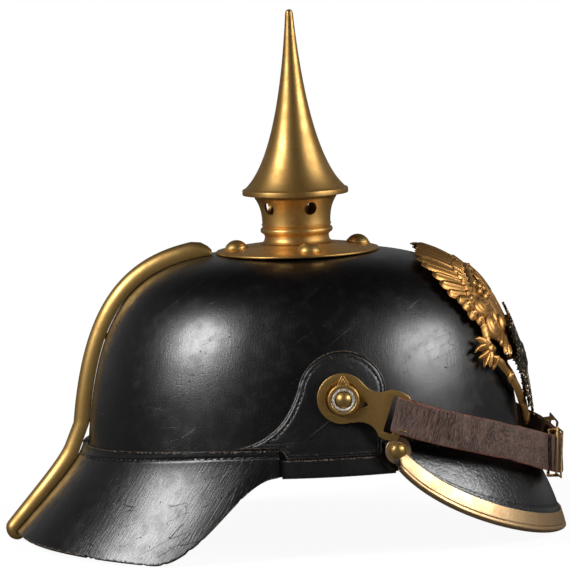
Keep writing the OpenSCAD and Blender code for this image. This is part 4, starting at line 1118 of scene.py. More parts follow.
# %% Spike base and studs
base_r, stud_circle_r, stud_turn, stud_tilt = 39.9, 30.5, 10.7, 9.0
base_rim_z = float(np.interp(base_r, dome_x(dome_u[::-1]), dome_z(dome_u[::-1]))) + 0.1
base_top_z, neck_foot_r = base_rim_z + 4.4, 17.8
base_line = curve_points([(base_r - 0.9, base_rim_z + 1.15), (base_r - 8, base_rim_z + 2.5),
                          (neck_foot_r + 6, base_top_z - 1), (neck_foot_r - 2, base_top_z)], 24)
rim_bead = arc((base_r - 0.5, base_rim_z + 0.55), 0.5, -1.2, 1.9, 9, 0.55)
under = [(r, max(z - 1.2, base_rim_z + 0.02)) for r, z in base_line[::-1]]
base = turned("spike_base_brass", rim_bead + list(base_line[1:]) + under, 192)
dressed(base, "helmet", spun_brass, "brass", "spike_base", smooth=50)

stud_z = float(np.interp(stud_circle_r, *base_line[::-1].T))
stud_places = [
    Matrix.Rotation(math.radians(stud_turn + 90 * k), 4, "Z")
    @ Matrix.Translation(Vector((stud_circle_r, 0, stud_z)) * MM)
    @ Matrix.Rotation(math.radians(stud_tilt), 4, "Y") for k in range(4)]
studs = copies("base_studs_brass", domed("stud", 5.8, 4.3, 1.8, 12, 0.5), stud_places)
dressed(studs, "helmet", pressed_brass, "brass", "base_studs")

# %% Neck
neck_r, neck_top_r, neck_foot_z = 16.7, 20.0, base_top_z + 0.05
neck_top_z, bead_z = neck_foot_z + 23.4, neck_foot_z + 6.2
foot_line = curve_points([(neck_foot_r, neck_foot_z), (neck_foot_r - 1.6, neck_foot_z + 0.5),
                          (neck_r - 1, neck_foot_z + 1.4), (neck_r - 1, neck_foot_z + 3.6)], 8)
bead = arc((neck_r - 0.6, bead_z), 1.6, -1.4, 1.4, 13)
fillet = [(neck_r - 0.2, bead_z + 2.0), (neck_r + 0.3, bead_z + 2.4),
          (neck_r + 0.35, bead_z + 2.9), (neck_r, bead_z + 3.3)]
flare = curve_points([(neck_r, bead_z + 3.5), (neck_r, bead_z + 8), (neck_r + 0.8, neck_top_z - 5),
                      (neck_top_r, neck_top_z - 1.4)], 26)
bore = neck_r - 2.2
lip = [(neck_top_r, neck_top_z - 0.2), (neck_top_r - 0.2, neck_top_z), (neck_top_r - 1.2, neck_top_z),
       (neck_top_r - 1.6, neck_top_z - 1.4)]
inside_line = curve_points([(neck_top_r - 1.7, neck_top_z - 2), (neck_r - 0.4, neck_top_z - 5.5),
                            (bore, neck_top_z - 9), (bore, bead_z)], 26)
neck_line = [*foot_line, *bead, *fillet, *flare, *lip, *inside_line, (bore, neck_foot_z)]
neck = turned("spike_neck_brass", neck_line, 192)
air_holes, air_hole_r = 5, 3.15
for k in range(air_holes):
    bpy.ops.mesh.primitive_cylinder_add(vertices=40, radius=air_hole_r * MM, depth=12 * MM)
    cutter = bpy.context.object
    turn = Matrix.Rotation(math.radians(6 + 360 / air_holes * k), 4, "Z")
    out = Matrix.Translation(Vector((17, 0, neck_top_z - 6)) * MM)
    cutter.data.transform(turn @ out @ Matrix.Rotation(math.pi / 2, 4, "Y"))
    modified(neck, "BOOLEAN", operation="DIFFERENCE", object=cutter, solver="EXACT")
    bpy.data.objects.remove(cutter)
modified(neck, "BEVEL", width=0.25 * MM, segments=2, limit_method="ANGLE", angle_limit=math.radians(60))
dressed(neck, "helmet", spun_brass, "brass", "spike_neck", smooth=30)

# %% Spike and washer
flange_z, flange_r, spike_h = neck_top_z + 0.3, 25.9, 90.0
tip_z = flange_z + spike_h
rim = arc((flange_r - 0.35, flange_z + 0.35), 0.35, -1.57, 0, 5)
rim += [(flange_r, flange_z + 2.0), (flange_r - 0.1, flange_z + 2.45), (flange_r - 0.45, flange_z + 2.75)]
cone = curve_points([(flange_r - 1.1, 0), (0.486 * flange_r, 0.125), (0.2 * flange_r, 0.512),
                     (0.075 * flange_r, 1)], 70)
cone = cone * (1, spike_h - 5.1) + (0, flange_z + 2.9)
tip = [(0.063 * flange_r, tip_z - 0.9), (0.04 * flange_r, tip_z - 0.3), (0.02 * flange_r, tip_z - 0.06),
       (0, tip_z)]
web = [(0, flange_z + 0.6), (neck_top_r - 2, flange_z + 0.6), (neck_top_r - 1.4, flange_z)]
spike = turned("spike_brass", [*web, *rim, *cone, *tip], 192, False)
dressed(spike, "spike", spun_brass, "brass", "spike", smooth=30)
washer_line = [(3.05, neck_top_z - 1.35), (11, neck_top_z - 1.35), (11, neck_top_z - 0.85),
               (3.05, neck_top_z - 0.85)]
washer = turned("spike_washer_leather", washer_line, 96)
dressed(washer, "spike_lift", strap_leather, "strap_leather", "spike_washer")

# %% [markdown]
# ## Side posts and strap fittings
#
# The post is turned, with a flange on the leather, a raised ring round its head and a pointed nose
# above. The fitting's eye hangs round it. A ring of white metal and a domed screw close the post.
# They are cast and filed, so every edge is broken by a small bevel that catches the light.

# %% Side posts
post_foot_y = float(side_y_at(post_x, post_z - 10.2, patch_wall)) - 0.9
post_seat_y = post_foot_y + 1.6
post_head_y = post_seat_y + 2.2
post_face_y = post_head_y + 2.2
ring_seat_y = post_face_y - 0.95
both_sides = ((-1, "right"), (1, "left"))


def at_post(y, side):
    """+Z points out of the side post, and +Y up."""
    return frame_at((post_x, side * y, post_z), (-side, 0, 0), (0, side, 0))


crest = arc((6.55, post_face_y - 0.6), 0.95, 0, math.pi, 13, 0.75)
post_line = [(2.1, post_foot_y), (9.9, post_foot_y), (10.2, post_foot_y + 0.3), (10.2, post_seat_y - 0.3),
             (9.9, post_seat_y), (7.0, post_seat_y), (7.0, post_head_y), (7.5, post_head_y + 0.3), *crest,
             (5.6, ring_seat_y), (2.1, ring_seat_y)]
ring_line = [(4.1, 0), (5.5, 0), (5.55, 0.7), (5.25, 1.15), (4.7, 1.3), (4.1, 0.9)]
noses = (([(-3.4, 6.4), (3.4, 6.4), (0.45, 11.5), (-0.45, 11.5)], post_head_y, 1.7),
         ([(-1.9, 7.0), (1.9, 7.0), (0.1, 10.3), (-0.1, 10.3)], post_head_y + 1.4, 0.8))
for side, hand in both_sides:
    parts = [turned("post", post_line, 96)]
    parts[0].data.transform(at_post(0, side))
    for nose, y, thick in noses:
        parts.append(cut_plate("nose", [nose], thick, 0.3, at_post(y, side)))
    dressed(joined(f"side_post_{hand}_brass", parts), "helmet", fitting_brass, "brass", f"side_post_{hand}")
    ring = turned(f"post_ring_{hand}_silver", ring_line, 96)
    ring.data.transform(at_post(ring_seat_y, side))
    dressed(ring, "helmet", white_metal, "white_metal", f"post_ring_{hand}")
    screw = domed(f"post_screw_{hand}_brass", 4.0, 2.7, 1.9, 21, 0.3)
    screw.data.transform(at_post(ring_seat_y, side))
    dressed(screw, "helmet", pressed_brass, "brass", f"post_screw_{hand}")

# %% Strap fittings
fitting_y, fitting_tilt, bar_x, fishtail_x = post_seat_y + 0.35, math.radians(19.6), 26.7, 30.6
eye, eye_r, eye_hole_r = (-0.5, 0.2), 12, 8.1
upper = curve_points([(7.6, 9.3), (11.5, 7.4), (15.5, 7.4), (20.0, 11.2)], 14)
lower = curve_points([(21.2, -11.8), (17.4, -6.6), (12, -6.6), (7.4, -9.4)], 14)
fishtail = [*upper, (24.4, 11.7), (28.8, 10.8), (fishtail_x, 9.2), (fishtail_x, -9.8), (28.5, -11.8),
            (24.5, -12.4), *lower]
fitting_line = fishtail + arc(eye, eye_r, math.radians(308), math.radians(52), 60)
eye_hole = arc(eye, eye_hole_r, math.radians(28), math.radians(322), 60) + [(12.2, 0.9)]
slot_hole = [(22.3, -8.9), (bar_x, -8.9), (bar_x, 8.9), (22.3, 8.9)]
for side, hand in both_sides:
    outlines = [[(-side * x, y) for x, y in line] for line in (fitting_line, eye_hole, slot_hole)]
    place = at_post(fitting_y, side) @ Matrix.Rotation(side * fitting_tilt, 4, "Z")
    fitting = cut_plate(f"strap_fitting_{hand}_brass", outlines, 1.6, 0.35, place)
    dressed(fitting, "chinstrap", fitting_brass, "brass", f"strap_fitting_{hand}")

# %% [markdown]
# ## Chinstrap
#
# Each half is one strap of leather. Its middle line is drawn in the strap's own tilted plane: an arc
# across the front, then a curve back to the fitting, through its slot and round behind itself. The
# section is a rounded strip that leans back across the front. The left half lies over the right one.
# Each slider is a skewed frame over the straps with a narrow loop behind them, and runs along them.

# %% Strap halves
strap_wall, strap_width, strap_rise = 1.8, 17.0, 2.0
strap_tilt, strap_cross = math.radians(23.1), math.radians(14.6)
strap_lean, slider_turn, front_turn, front_arc_r = 16.0, 20.0, 40.0, 70.0
strap_reach = (half_length + front_reach / 2 - post_x) / math.cos(strap_tilt) + 7.4
front_arc_x = strap_reach - front_arc_r
bar_out_y = fitting_y + 1.6
strap_lap, lap_step = slider_turn + 7, strap_wall + 0.15
fold_gap = 0.2
fold_r = strap_wall / 2 + fold_gap
fold_out = fold_r + strap_wall / 2


def strap_line():
    """Rows from the free end: x and y in the strap's plane, the lean, and how far the lap lifts."""
    rows = []
    for a in np.linspace(-strap_lap, front_turn, 110):
        past = max(0, a - strap_lap - 3) / (front_turn - strap_lap - 3)
        lap = 0.5 + 0.5 * math.cos(math.pi * past)
        b = math.radians(a)
        x, y = front_arc_x + front_arc_r * math.cos(b), front_arc_r * math.sin(b)
        rows.append((x, y, strap_lean, lap * lap_step))
    b = math.radians(front_turn)
    p, d = np.array(rows[-1][:2]), np.array([-math.sin(b), math.cos(b)])
    root = np.array([fishtail_x + 2, bar_out_y + fold_r])
    for u in np.linspace(0, 1, 70)[1:]:
        spot = curve([p, p + 26 * d, root + (24, 0), root], u)
        rows.append((*spot, strap_lean * (0.5 + 0.5 * math.cos(math.pi * u)), 0))
    for first, face_y in ((0, bar_out_y), (math.pi / 2, fitting_y)):
        for a in np.linspace(first, first + math.pi / 2, 9):
            rows.append((bar_x - fold_r * math.sin(a), face_y + fold_r * math.cos(a), 0, 0))
    under = bar_out_y + fold_r - strap_wall - fold_gap
    tail = curve_points([(fishtail_x + 0.6, fitting_y - fold_r), (fishtail_x + 2.5, fitting_y - fold_r),
                         (fishtail_x + 3, under), (fishtail_x + 5, under)], 8)
    rows += [(*spot, 0, 0) for spot in tail]
    rows += [(fishtail_x + x, under + 0.3 * (x - 5) / 10, 0, 0) for x in np.linspace(6, 15, 10)]
    return np.array(rows)


strap_rows = strap_line()
strap_along = runs_along(strap_rows[:, :2])
strap_table = np.hstack([strap_rows, np.gradient(strap_rows[:, :2], axis=0)])
strap_table[:, 4:] /= np.hypot(*strap_table[:, 4:].T)[:, None]
corner, half_w, half_h = 0.8, strap_wall / 2, strap_width / 2
rounded = arc((half_w - corner, half_h - corner), corner, 0, 1.57, 5)
upper_edge = rounded + [(-x, y) for x, y in rounded[::-1]]
flank_z = np.linspace(-6, 6, 9)
strip = [*upper_edge, *[(-half_w, z) for z in -flank_z],
         *[(-x, -z) for x, z in upper_edge], *[(half_w, z) for z in flank_z]]


def in_strap_plane(x, y, z):
    """x along the strap's sloping plane and z across the strap, which bows up a little on its way."""
    ahead = post_x + x * math.cos(strap_tilt) + strap_rise * math.sin(strap_tilt)
    up = post_z - x * math.sin(strap_tilt) + strap_rise * math.cos(strap_tilt)
    bow = curve([0.3, 2.0, 8.0, 1.0], min(1, max(0, (ahead - 42) / 88)))
    return np.array([ahead + z * math.sin(strap_cross), y, up + z * math.cos(strap_cross) + bow])


def strap_half(name, side, lapped):
    """One half of the strap, its strip swept along the middle line. The lapped half lies outside."""
    waves = np.random.default_rng(11 if lapped else 12).normal(0, 1, 24)

    def place(s, t):
        run = strap_along[-1] * s
        x, y, lean, lap, *way = read_at(run, strap_along, strap_table)
        outwards = -square_to(way)
        a = math.radians(lean)
        thick, wide = strip[round(t * len(strip)) % len(strip)]
        wear = 1.0 if abs(wide) > half_h - corner else 0.0
        if 60 < run < 110:
            wide += 0.18 * np.interp(s * 23, range(24), waves) * wide / half_h
        out = thick + (lap if lapped else 0)
        r, z = out * math.cos(a) - wide * math.sin(a), out * math.sin(a) + wide * math.cos(a)
        spot = in_strap_plane(x + r * outwards[0], y + r * outwards[1], z)
        return spot[0], side * spot[1], spot[2], wear

    piece = laid_sheet(name, 300, len(strip), place)
    closed_up(piece, 0.01)
    bpy.ops.object.mode_set(mode="EDIT")
    bpy.ops.mesh.select_all(action="DESELECT")
    bpy.ops.mesh.select_non_manifold()
    bpy.ops.mesh.fill()
    bpy.ops.object.mode_set(mode="OBJECT")
    closed_up(piece, 0.0)
    return dressed(piece, "chinstrap", strap_leather, "strap_leather", name.replace("_leather", ""))


strap_half("chin_strap_right_leather", -1, False)
strap_half("chin_strap_left_leather", 1, True)

# %% Sliders and staples
slider_length, slider_bar, slider_sheet, slider_skew = 10.0, 1.5, 0.8, 16.0
inner, outer = strap_wall / 2 + 0.35, strap_wall / 2 + lap_step + 0.4
skew = math.radians(slider_skew)
room = strap_width / math.cos(skew) + slider_length * math.tan(skew) + 1.3
tall = room + 2 * slider_sheet
window_l, half_l, half_t = slider_length - 2 * slider_bar, slider_length / 2, tall / 2
face_line = [(-half_l, -half_t), (half_l, -half_t), (half_l, half_t), (-half_l, half_t)]
window = [(x * window_l / slider_length, y * room / tall) for x, y in face_line]
loop_line = [(outer + 0.3, half_t), (-inner - slider_sheet, half_t), (-inner - slider_sheet, -half_t),
             (outer + 0.3, -half_t)]
loop_along = runs_along(loop_line)
loop_runs = np.linspace(0, loop_along[-1], 61)
for bend in loop_along[1:3]:
    loop_runs[np.abs(loop_runs - bend).argmin()] = bend
loop_width = 3


def loop_place(s, t):
    """The narrow loop behind the straps: back from the frame's top, down and forward again."""
    x, z = read_at(loop_runs[round(s * 60)], loop_along, loop_line)
    return x, loop_width * (t - 0.5), z


facing_x = Matrix(((0, 0, 1), (1, 0, 0), (0, 1, 0))).to_4x4()
staple_y = bar_out_y + fold_out
legs = [(28.6, staple_y - 1.2), (28.7, staple_y + 0.15), (29.2, staple_y + 0.35), (31.4, staple_y + 0.35),
        (31.9, staple_y + 0.15), (32.0, staple_y - 1.2)]
for side, hand in both_sides:
    b = math.radians(slider_turn)
    spot = in_strap_plane(front_arc_x + front_arc_r * math.cos(b), side * front_arc_r * math.sin(b), 0)
    here = (Matrix.Translation(Vector(spot) * MM) @ Matrix.Rotation(strap_cross, 4, "Y")
            @ Matrix.Rotation(side * b, 4, "Z") @ Matrix.Rotation(math.radians(-strap_lean), 4, "Y")
            @ Matrix.Rotation(side * skew, 4, "X"))
    face_place = here @ Matrix.Translation((outer * MM, 0, 0)) @ facing_x
    face = cut_plate("face", [face_line, window], slider_sheet, 0.2, face_place)
    loop = laid_sheet("loop", 60, 2, loop_place, (0, 0, 0))
    thickened(loop, slider_sheet, 0.15)
    loop.data.transform(here)
    slider = joined(f"slider_{hand}_brass", [face, loop])
    dressed(slider, f"slider_{hand}", pressed_brass, "brass", f"slider_{hand}")
    staple_path = [in_strap_plane(x, side * y, 2.2 - strap_width / 2) for x, y in legs]
    staple = rolled_wire(f"strap_staple_{hand}_brass", staple_path, 0.35)
    dressed(staple, "chinstrap", pressed_brass, "brass", f"strap_staple_{hand}")

# %% [markdown]
# ## Front plate
#
# The eagle is stamped from sheet brass in deep relief. Here its forms are modelled flat first, as on
# the die: feathers with a midrib and fine barbs, scales, a coil at the wing's shoulder, thigh, claw and
# staff. One side is modelled and mirrored, but for the head, which looks to the wearer's right. Then
# the whole plate is pressed on to the curve of the dome.

# %% Forms of the relief
plate_slope = math.radians(38)


def raised_form(rows, columns, place):
    """A sheet in the flat of the plate: place gives across, up and height in mm for two shares."""
    bpy.ops.mesh.primitive_grid_add(x_subdivisions=rows, y_subdivisions=columns, size=1)
    form = bpy.context.object
    for vertex in form.data.vertices:
        vertex.co = Vector(place(vertex.co.x + 0.5, vertex.co.y + 0.5)) * MM
    if sum(f.normal.z for f in form.data.polygons) < 0:
        form.data.flip_normals()
    return form


def path_at(path, s):
    """A smooth curve through the path's first and last points, drawn towards its middle ones."""
    path = np.asarray(path, float)
    if len(path) == 2:
        return path[0] + (path[1] - path[0]) * s
    if len(path) == 3:
        middle = 2 * path[1] - (path[0] + path[2]) / 2
        return (1 - s) ** 2 * path[0] + 2 * (1 - s) * s * middle + s * s * path[2]
    return curve(path, s)


def spot_and_side(path, s):
    """A place on the path and the way to its left."""
    return path_at(path, s), square_to(path_at(path, min(s + 0.02, 1)) - path_at(path, max(s - 0.02, 0)))


def feather(path, half, height, base=0.0, barbs=1.3, rows=34, columns=10, tip=0.72):
    """A feather from root to tip: narrow root, full middle, rounded tip, midrib and barbs."""
    long = runs_along(path)[-1]

    def place(s, t):
        x = 2 * t - 1
        spot, side = spot_and_side(path, s)
        wide = 0.55 + 0.45 * math.sin(math.pi / 2 * min(s / tip, 1))
        if s > tip:
            wide *= math.sqrt(max(0, 1 - ((s - tip) / (1 - tip)) ** 2))
        arch = max(0, 1 - abs(x) ** 2.4) ** 0.5
        rib = 0.3 * math.exp(-(x / 0.13) ** 2)
        barb = 0.11 * math.cos(2 * math.pi * (s * long - 1.4 * abs(x) * half) / barbs) * (abs(x) > 0.16)
        end = min(1, (1 - s) / 0.08) ** 0.5
        rise = height * arch * (0.75 + 0.25 * s) + rib + barb * arch
        return *(spot + side * x * half * wide), base + rise * end

    return raised_form(rows, columns, place)


def boss(spot, radii, height, base=0.0, turn=0.0, rings=0.0, coil=0.0):
    """A low oval dome, with ridges round it or wound as a coil."""
    a = math.radians(turn)

    def place(s, t):
        r, b = math.sin(math.pi / 2 * t), 2 * math.pi * s
        x, y = radii[0] * r * math.cos(b), radii[1] * r * math.sin(b)
        ridge = 0.22 * math.cos(2 * math.pi * (rings * r - coil * s)) * (1 - r ** 6) if rings else 0
        z = base + height * math.sqrt(max(0, 1 - r * r)) + ridge
        return spot[0] + x * math.cos(a) - y * math.sin(a), spot[1] + x * math.sin(a) + y * math.cos(a), z

    form = raised_form(36, 14 if rings else 8, place)
    closed_up(form, 0.001)
    if sum(f.normal.z for f in form.data.polygons) < 0:
        form.data.flip_normals()
    return form


def limb(path, halves, heights, base=0.0, ringed=0.0, rows=18, columns=8):
    """A rounded limb whose half width and height run between the given values."""
    def place(s, t):
        x = 2 * t - 1
        spot, side = spot_and_side(path, s)
        share = np.linspace(0, 1, len(halves))
        half, height = np.interp(s, share, halves), np.interp(s, share, heights)
        end = min(1, s / 0.08 + 0.3, (1 - s) / 0.1 + 0.05)
        ring = ringed * math.cos(2 * math.pi * s * 5)
        return *(spot + side * x * half * end), base + (height + ring) * max(0, 1 - x * x) ** 0.5 * end

    return raised_form(rows, columns, place)


# %% Eagle's wing, leg and tail, modelled on one side
primaries = [
    ((8, 19), (6, 31), (4, 42), 3.1), ((11.5, 19), (11, 31), (10.5, 42.6), 3.3),
    ((14.5, 19), (16, 32), (17.5, 42.6), 3.4), ((18, 19), (22, 32), (24.3, 42.8), 3.4),
    ((21, 17), (27, 30), (30.8, 40.2), 3.3),
    ((23, 14.5), (31, 26.5), (36.2, 37.2), 3.3), ((25.5, 12.5), (33.5, 22), (39.4, 30.4), 3.2),
    ((28, 10.8), (36.5, 18.2), (43, 25), 3.1), ((30, 9.5), (38, 14.8), (43.6, 19.4), 2.9),
    ((31, 7.5), (38.5, 11), (42.8, 13.6), 2.5)]
half_eagle = []
for i, (root, middle, tip, half) in enumerate(primaries):
    half_eagle.append(feather((root, middle, tip), half, 1.0, 0.25 + 0.35 * (i % 2)))
    low, high = (np.array(root) + share * (np.array(middle) - root) for share in (0.08, 0.62))
    half_eagle.append(feather((low, high), 0.72 * half, 0.9, 1.0 + 0.2 * (i % 2), 1.0, 16, 8, 0.6))
shoulder = ((5, 17), (15, 21), (25, 15), (33, 6))
half_eagle.append(limb(shoulder, (2.0, 2.4, 2.4, 1.6), (1.4, 1.9, 1.7, 1.2), 0.9, 0.12, 30))
for spot, r in (((19.6, 12.6), 2.7), ((21.4, 7.6), 2.4), ((15.4, 9.0), 2.6), ((18.0, 3.6), 2.6),
                ((13.6, 3.4), 2.3)):
    half_eagle.append(boss(spot, (r, r), 1.7, 0.7, rings=1.4))
for spot, r in (((39.2, 8.6), 3.6), ((39.6, 3.4), 3.4), ((37.0, -1.2), 2.9), ((33.0, 8.0), 2.5)):
    half_eagle.append(boss(spot, (r, 0.86 * r), 1.5, 0.3, -30, 1.6, 1))
half_eagle += [boss(*form) for form in (
    ((27.4, 1.2), (8.6, 5.6), 1.7, 0.6, 28, 3.2, 1), ((29.6, -8.6), (5.0, 6.6), 2.0, 0.6, -14, 2.2),
    ((16.8, -11.6), (3.0, 4.6), 2.3, 0.6, 12), ((22.5, -6.5), (2.2, 4.4), 1.8, 0.5, 20))]
for root, tip, half in (
        ((15, -14), (28, -18.5), 2.4), ((13, -16), (26.5, -23.4), 2.6), ((10, -17), (20, -27), 2.7),
        ((6, -18), (12.5, -29), 2.7), ((2, -18), (4.5, -30), 2.6)):
    half_eagle.append(feather((root, tip), half, 1.1, 0.4, 1.1, 24, 8, 0.62))
leg, claw = ((35.5, -5), (38.5, -10), (40.2, -15)), (40.6, -15.2)
half_eagle.append(limb(leg, (3.0, 2.0, 2.2), (1.6, 1.5, 1.7), 0.3, 0.16))
half_eagle.append(boss(claw, (2.9, 2.7), 2.3, 0.4))
for middle, tip in (
        ((43.2, -9.2), (45.8, -6.2)), ((45.4, -11), (49.3, -10.9)), ((45.2, -15), (48.6, -13.8)),
        ((45.6, -18), (47.2, -19.4)), ((42.4, -19.6), (43.0, -22.0)), ((37.2, -17), (35.2, -15.4))):
    toe = (claw, middle, tip)
    half_eagle.append(limb(toe, (1.5, 1.7, 1.0, 0.5), (1.6, 2.1, 1.3, 0.5), 0.3, 0.1, 14, 6))
grip = ((42.4, -22.4), (38.8, -22.6), (35.2, -20.6))
half_eagle.append(limb(grip, (1.3, 1.2, 1.4), (1.5, 1.3, 1.5), 0.4, 0.0, 12, 6))
staff = ((38, -19.5), (31, -28.5), (23.5, -41), (2.4, -60))
staff_halves, staff_heights = (1.0, 1.7, 1.4, 2.0, 2.3, 3.0, 3.6), (1.3, 1.8, 1.5, 1.9, 2.2, 2.3, 2.4)
half_eagle.append(limb(staff, staff_halves, staff_heights, 0.2, 0.1, 60))
for spot, r in (((28.4, -33.6), 2.4), ((13.8, -50.2), 3.0), ((6.6, -56.6), 2.8)):
    half_eagle.append(boss(spot, (1.25 * r, r), 2.1, 0.5, 52, 1.3))
outline = [(0, 27), (7, 34), (16, 36), (25, 35), (31, 31), (35, 25), (38.5, 19), (40, 12), (40.5, 6),
           (39, 0), (36, -6), (34, -12), (27, -17), (20, -22), (10, -25), (0, -25)]
ground = cut_plate("ground", [outline], 0.9, 0.2)
sliced(ground, 3.0)
ground.data.transform(Matrix.Translation((0, 0, -0.3 * MM)))
half_sheets = joined("half_sheets", half_eagle)
thickened(half_sheets, 0.7)
half_side = joined("half_side", [half_sheets, ground])
print("one side of the eagle has", len(half_side.data.polygons), "faces")

# %% Breast and head, and the eagle pressed on the dome
middle_forms = []
for row in range(9):
    v = 13 - 4.3 * row
    count = 3 + min(row, 3) - max(0, row - 6)
    for k in range(count):
        a = (k - (count - 1) / 2) * 4.9 * (1 + 0.02 * row)
        drop = 0.06 * a * a / 3
        scale = (a, v + 3 - drop), (a * 1.03, v - 3.6 - drop)
        middle_forms.append(feather(scale, 2.7, 0.9, 1.5 - 0.012 * a * a, 1.1, 12, 8, 0.45))
middle_forms.append(boss((0, -6), (15.5, 19), 2.1, 0.0))
middle_forms.append(limb(((1, 2), (-1, 10), (4, 18)), (7.0, 5.2, 4.4), (2.2, 2.4, 2.4), 0.6))
middle_forms.append(boss((4.6, 18.2), (4.6, 4.2), 2.7, 0.5))
middle_forms.append(limb(((7.4, 19.2), (12.4, 19.4), (13.6, 13.4)), (2.2, 1.9, 0.4), (2.6, 2.3, 0.9), 0.5))
middle_forms.append(limb(((7.4, 16.2), (9.6, 15.4), (11.2, 14.2)), (1.4, 1.1, 0.4), (2.0, 1.6, 0.8), 0.4))
middle_forms.append(boss((6.6, 19.4), (0.9, 0.8), 0.9, 2.9))
for tip in ((9, 26), (5, 29), (0.5, 29), (-3.5, 26.5), (-6, 22)):
    middle_forms.append(feather(((3.6, 19.5), tip), 1.9, 1.2, 0.6, 1.0, 14, 8, 0.55))
for k in range(5):
    scale = (1.6 + 0.2 * k, 17.5 - 3 * k), (-5.4 + 0.3 * k, 13.5 - 3 * k)
    middle_forms.append(feather(scale, 1.9, 1.0, 1.6, 0.9, 12, 8, 0.5))
middle_sheets = joined("middle_sheets", middle_forms)
thickened(middle_sheets, 0.7)


def on_front(across, up, out):
    """Places on the dome's front grown by out, seen square to the plate's slanted plane."""
    n = np.array([math.cos(plate_slope), 0, math.sin(plate_slope)])
    v = np.array([-math.sin(plate_slope), 0, math.cos(plate_slope)])
    start = across[:, None] * np.array([0, 1, 0]) + up[:, None] * v
    near, far = np.zeros(len(across)), np.full(len(across), 190.0)
    unit_x, unit_z = dome_x(dome_u) / half_length, dome_z(dome_u) / shell_height
    for _ in range(40):
        trial = (near + far) / 2
        p = start + trial[:, None] * n
        wide = np.hypot(p[:, 0], p[:, 1] * (half_length + out) / (half_width + out))
        room_x = (half_length + out) * np.interp(p[:, 2] / (shell_height + out), unit_z, unit_x, right=0)
        inside = (wide < room_x) | (p[:, 2] < 0)
        near, far = np.where(inside, trial, near), np.where(inside, far, trial)
    return start + near[:, None] * n


def pressed(form, base_out, side=1):
    """The flat relief laid on the dome, its height measured from base_out off the shell."""
    flat = np.array([v.co for v in form.data.vertices]) / MM
    laid = on_front(side * flat[:, 0], flat[:, 1], base_out + flat[:, 2])
    form.data.vertices.foreach_set("co", (laid * MM).ravel())
    form.data.update()
    if side < 0:
        form.data.flip_normals()


only(half_side)
bpy.ops.object.duplicate()
other_side = bpy.context.object
plate_out = 3.3
pressed(half_side, plate_out, 1)
pressed(other_side, plate_out, -1)
pressed(middle_sheets, plate_out, -1)
eagle = joined("eagle_plate_gilt", [half_side, other_side, middle_sheets])
dressed(eagle, "helmet", fire_gilt, "gilt", "eagle_plate")

# %% [markdown]
# The star stands off the eagle's breast on a short boss. Its rays are cut into fine facets that
# sparkle, eight long points with shorter rays between them.

# %% Star
star_v, star_r = -33.0, 27.0


def star_ray(turn, length):
    """A ray from the star's middle outwards: a ridge with facets cut across it."""
    way = np.array([math.cos(turn), math.sin(turn)])
    root, tip = ((0, star_v) + reach * way for reach in (6, length))

    def place(s, t):
        x = 2 * t - 1
        half = min(0.32 + 1.0 * s, 4.2 * (1 - s) + 0.12)
        facet = 0.35 * abs(math.sin(s * math.pi * 9))
        ridge = 0.75 * (1 - abs(x)) * (1 - 0.4 * s) - facet * (1 - abs(x))
        return *(root + (tip - root) * s + square_to(tip - root) * x * half), 0.9 + ridge

    return raised_form(27, 4, place)


rays = []
for k in range(72):
    from_point = abs(((k + 4.5) % 9) - 4.5) / 4.5
    rays.append(star_ray(2 * math.pi * k / 72, star_r - 0.6 - 8.5 * from_point))
star_rays = joined("star_rays", rays)
thickened(star_rays, 0.8)
ground_outline = []
for k in range(16):
    r, a = star_r - 1.6 - 7.4 * (k % 2), math.pi * k / 8
    ground_outline.append((r * math.cos(a), star_v + r * math.sin(a)))
star_ground = cut_plate("star_ground", [ground_outline], 0.9, 0.2)
sliced(star_ground, 3.0)
star_middle = boss((0, star_v), (8.6, 8.6), 1.6, 0.9, rings=2.0)
thickened(star_middle, 0.8)
star = joined("eagle_star_silver", [star_rays, star_ground, star_middle])
pressed(star, 7.0, 1)
star_u = 0.835
fall_x, fall_z = dome_x(star_u + 0.01) - dome_x(star_u), dome_z(star_u + 0.01) - dome_z(star_u)
spacer = turned("spacer", [(0, 4.2), (6, 4.2), (6, 7.4), (0, 7.4)], 48, False)
spacer.data.transform(frame_at((dome_x(star_u), 0, dome_z(star_u)), (0, 1, 0), (-fall_z, 0, fall_x)))
star = joined("eagle_star_silver", [star, spacer])
dressed(star, "helmet", cut_silver, "white_metal", "eagle_star", smooth=25)

# %% [markdown]
# ## Liner
#
# Inside, a leather band is sewn round the rim. Tongues rise from it and are drawn in at the top by a
# linen lace, which sets how deep the helmet sits.

# %% Sweatband
band_inset, liner_wall = 4.2, 1.2


def band_place(s, t):
    """The band stands inside the rim, in slight even swells."""
    z = 1.5 + 30 * t
    swell = 0.25 * math.sin(s * 2 * math.pi * 17) * math.sin(math.pi * t)
    out = -band_inset - liner_wall - 0.2 + swell * 0.5
    x, a = shell_x_at(z, out), 2 * math.pi * s
    return x * math.cos(a), x * ratio(out) * math.sin(a), z


band = laid_sheet("sweatband_leather", 240, 20, band_place, (0, 0, 15))
closed_up(band, 0.01)
if band.data.polygons[0].normal.dot(band.data.polygons[0].center) > 0:
    band.data.flip_normals()
thickened(band, 1.0, 0.3)
dressed(band, "helmet", liner_leather, "liner_leather", "sweatband")

# %% Tongues
tongue_foot_u, tongue_tip_u = 0.86, 0.42


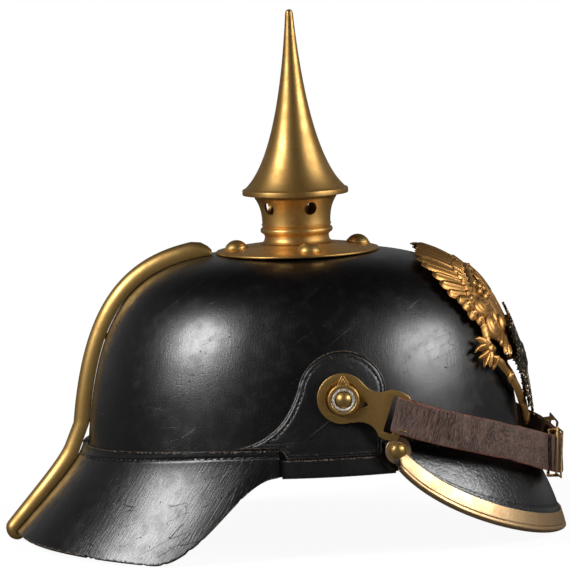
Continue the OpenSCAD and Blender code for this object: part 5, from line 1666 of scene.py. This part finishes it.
def liner_tongue(middle_turn):
    """A tongue from the band up into the crown, narrower upwards and rounded at its tip."""
    def place(s, t):
        u = tongue_foot_u + (tongue_tip_u - tongue_foot_u) * t
        out = -band_inset - liner_wall - 1.1 - 7 * t - 0.4 * math.sin(math.pi * s) * math.sin(math.pi * t)
        half = math.degrees(22 / dome_x(u)) * (1 - 0.62 * t ** 1.5)
        if t > 0.9:
            half *= math.sqrt(max(0, 1 - ((t - 0.9) / 0.1) ** 2)) * 0.5 + 0.5
        a = math.radians(middle_turn + half * (2 * s - 1))
        x = dome_x(u, out)
        return x * math.cos(a), x * ratio(out) * math.sin(a), dome_z(u, out)

    tongue = laid_sheet("tongue", 24, 40, place, (0, 0, 15))
    tongue.data.flip_normals()
    thickened(tongue, 1.1, 0.3)
    return tongue


made = [liner_tongue(40 * (k + 0.5)) for k in range(9)]
tongues = joined("liner_tongues_leather", made)
dressed(tongues, "helmet", liner_leather, "liner_leather", "liner_tongues")

# %% Lace
lace_share = 0.94
lace_u = tongue_foot_u + (tongue_tip_u - tongue_foot_u) * lace_share
lace_out = -band_inset - 2 * liner_wall - 1 - 7 * lace_share - 1.3
lace_points = []
for a in np.linspace(0, 2 * math.pi, 180, False):
    pull = lace_out + 0.5 * math.cos(9 * a)
    x = dome_x(lace_u, pull)
    lace_points.append((x * math.cos(a), x * ratio(pull) * math.sin(a), dome_z(lace_u, pull)))
lace = rolled_wire("liner_lace_linen", lace_points, 1.1, True)
dressed(lace, "helmet", lace_linen, "lace", "liner_lace")

# %% [markdown]
# ## Finish
#
# The CAD pieces that nothing here replaces keep their own mesh and get a finish.

# %% Plain pieces that stay as they are
hidden_finishes = {
    spun_brass: ("spike_socket", "spike_stud"),
    pressed_brass: ("base_stud_nuts", "spine_bolt", "plate_posts", "plate_nuts", "post_nut_right",
                    "post_nut_left"),
    liner_leather: ("crown_plate",)}
for finish, nodes in hidden_finishes.items():
    for node in nodes:
        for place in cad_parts[node].material_slots:
            place.material = finish
print("plain pieces:", sum(len(nodes) for nodes in hidden_finishes.values()))
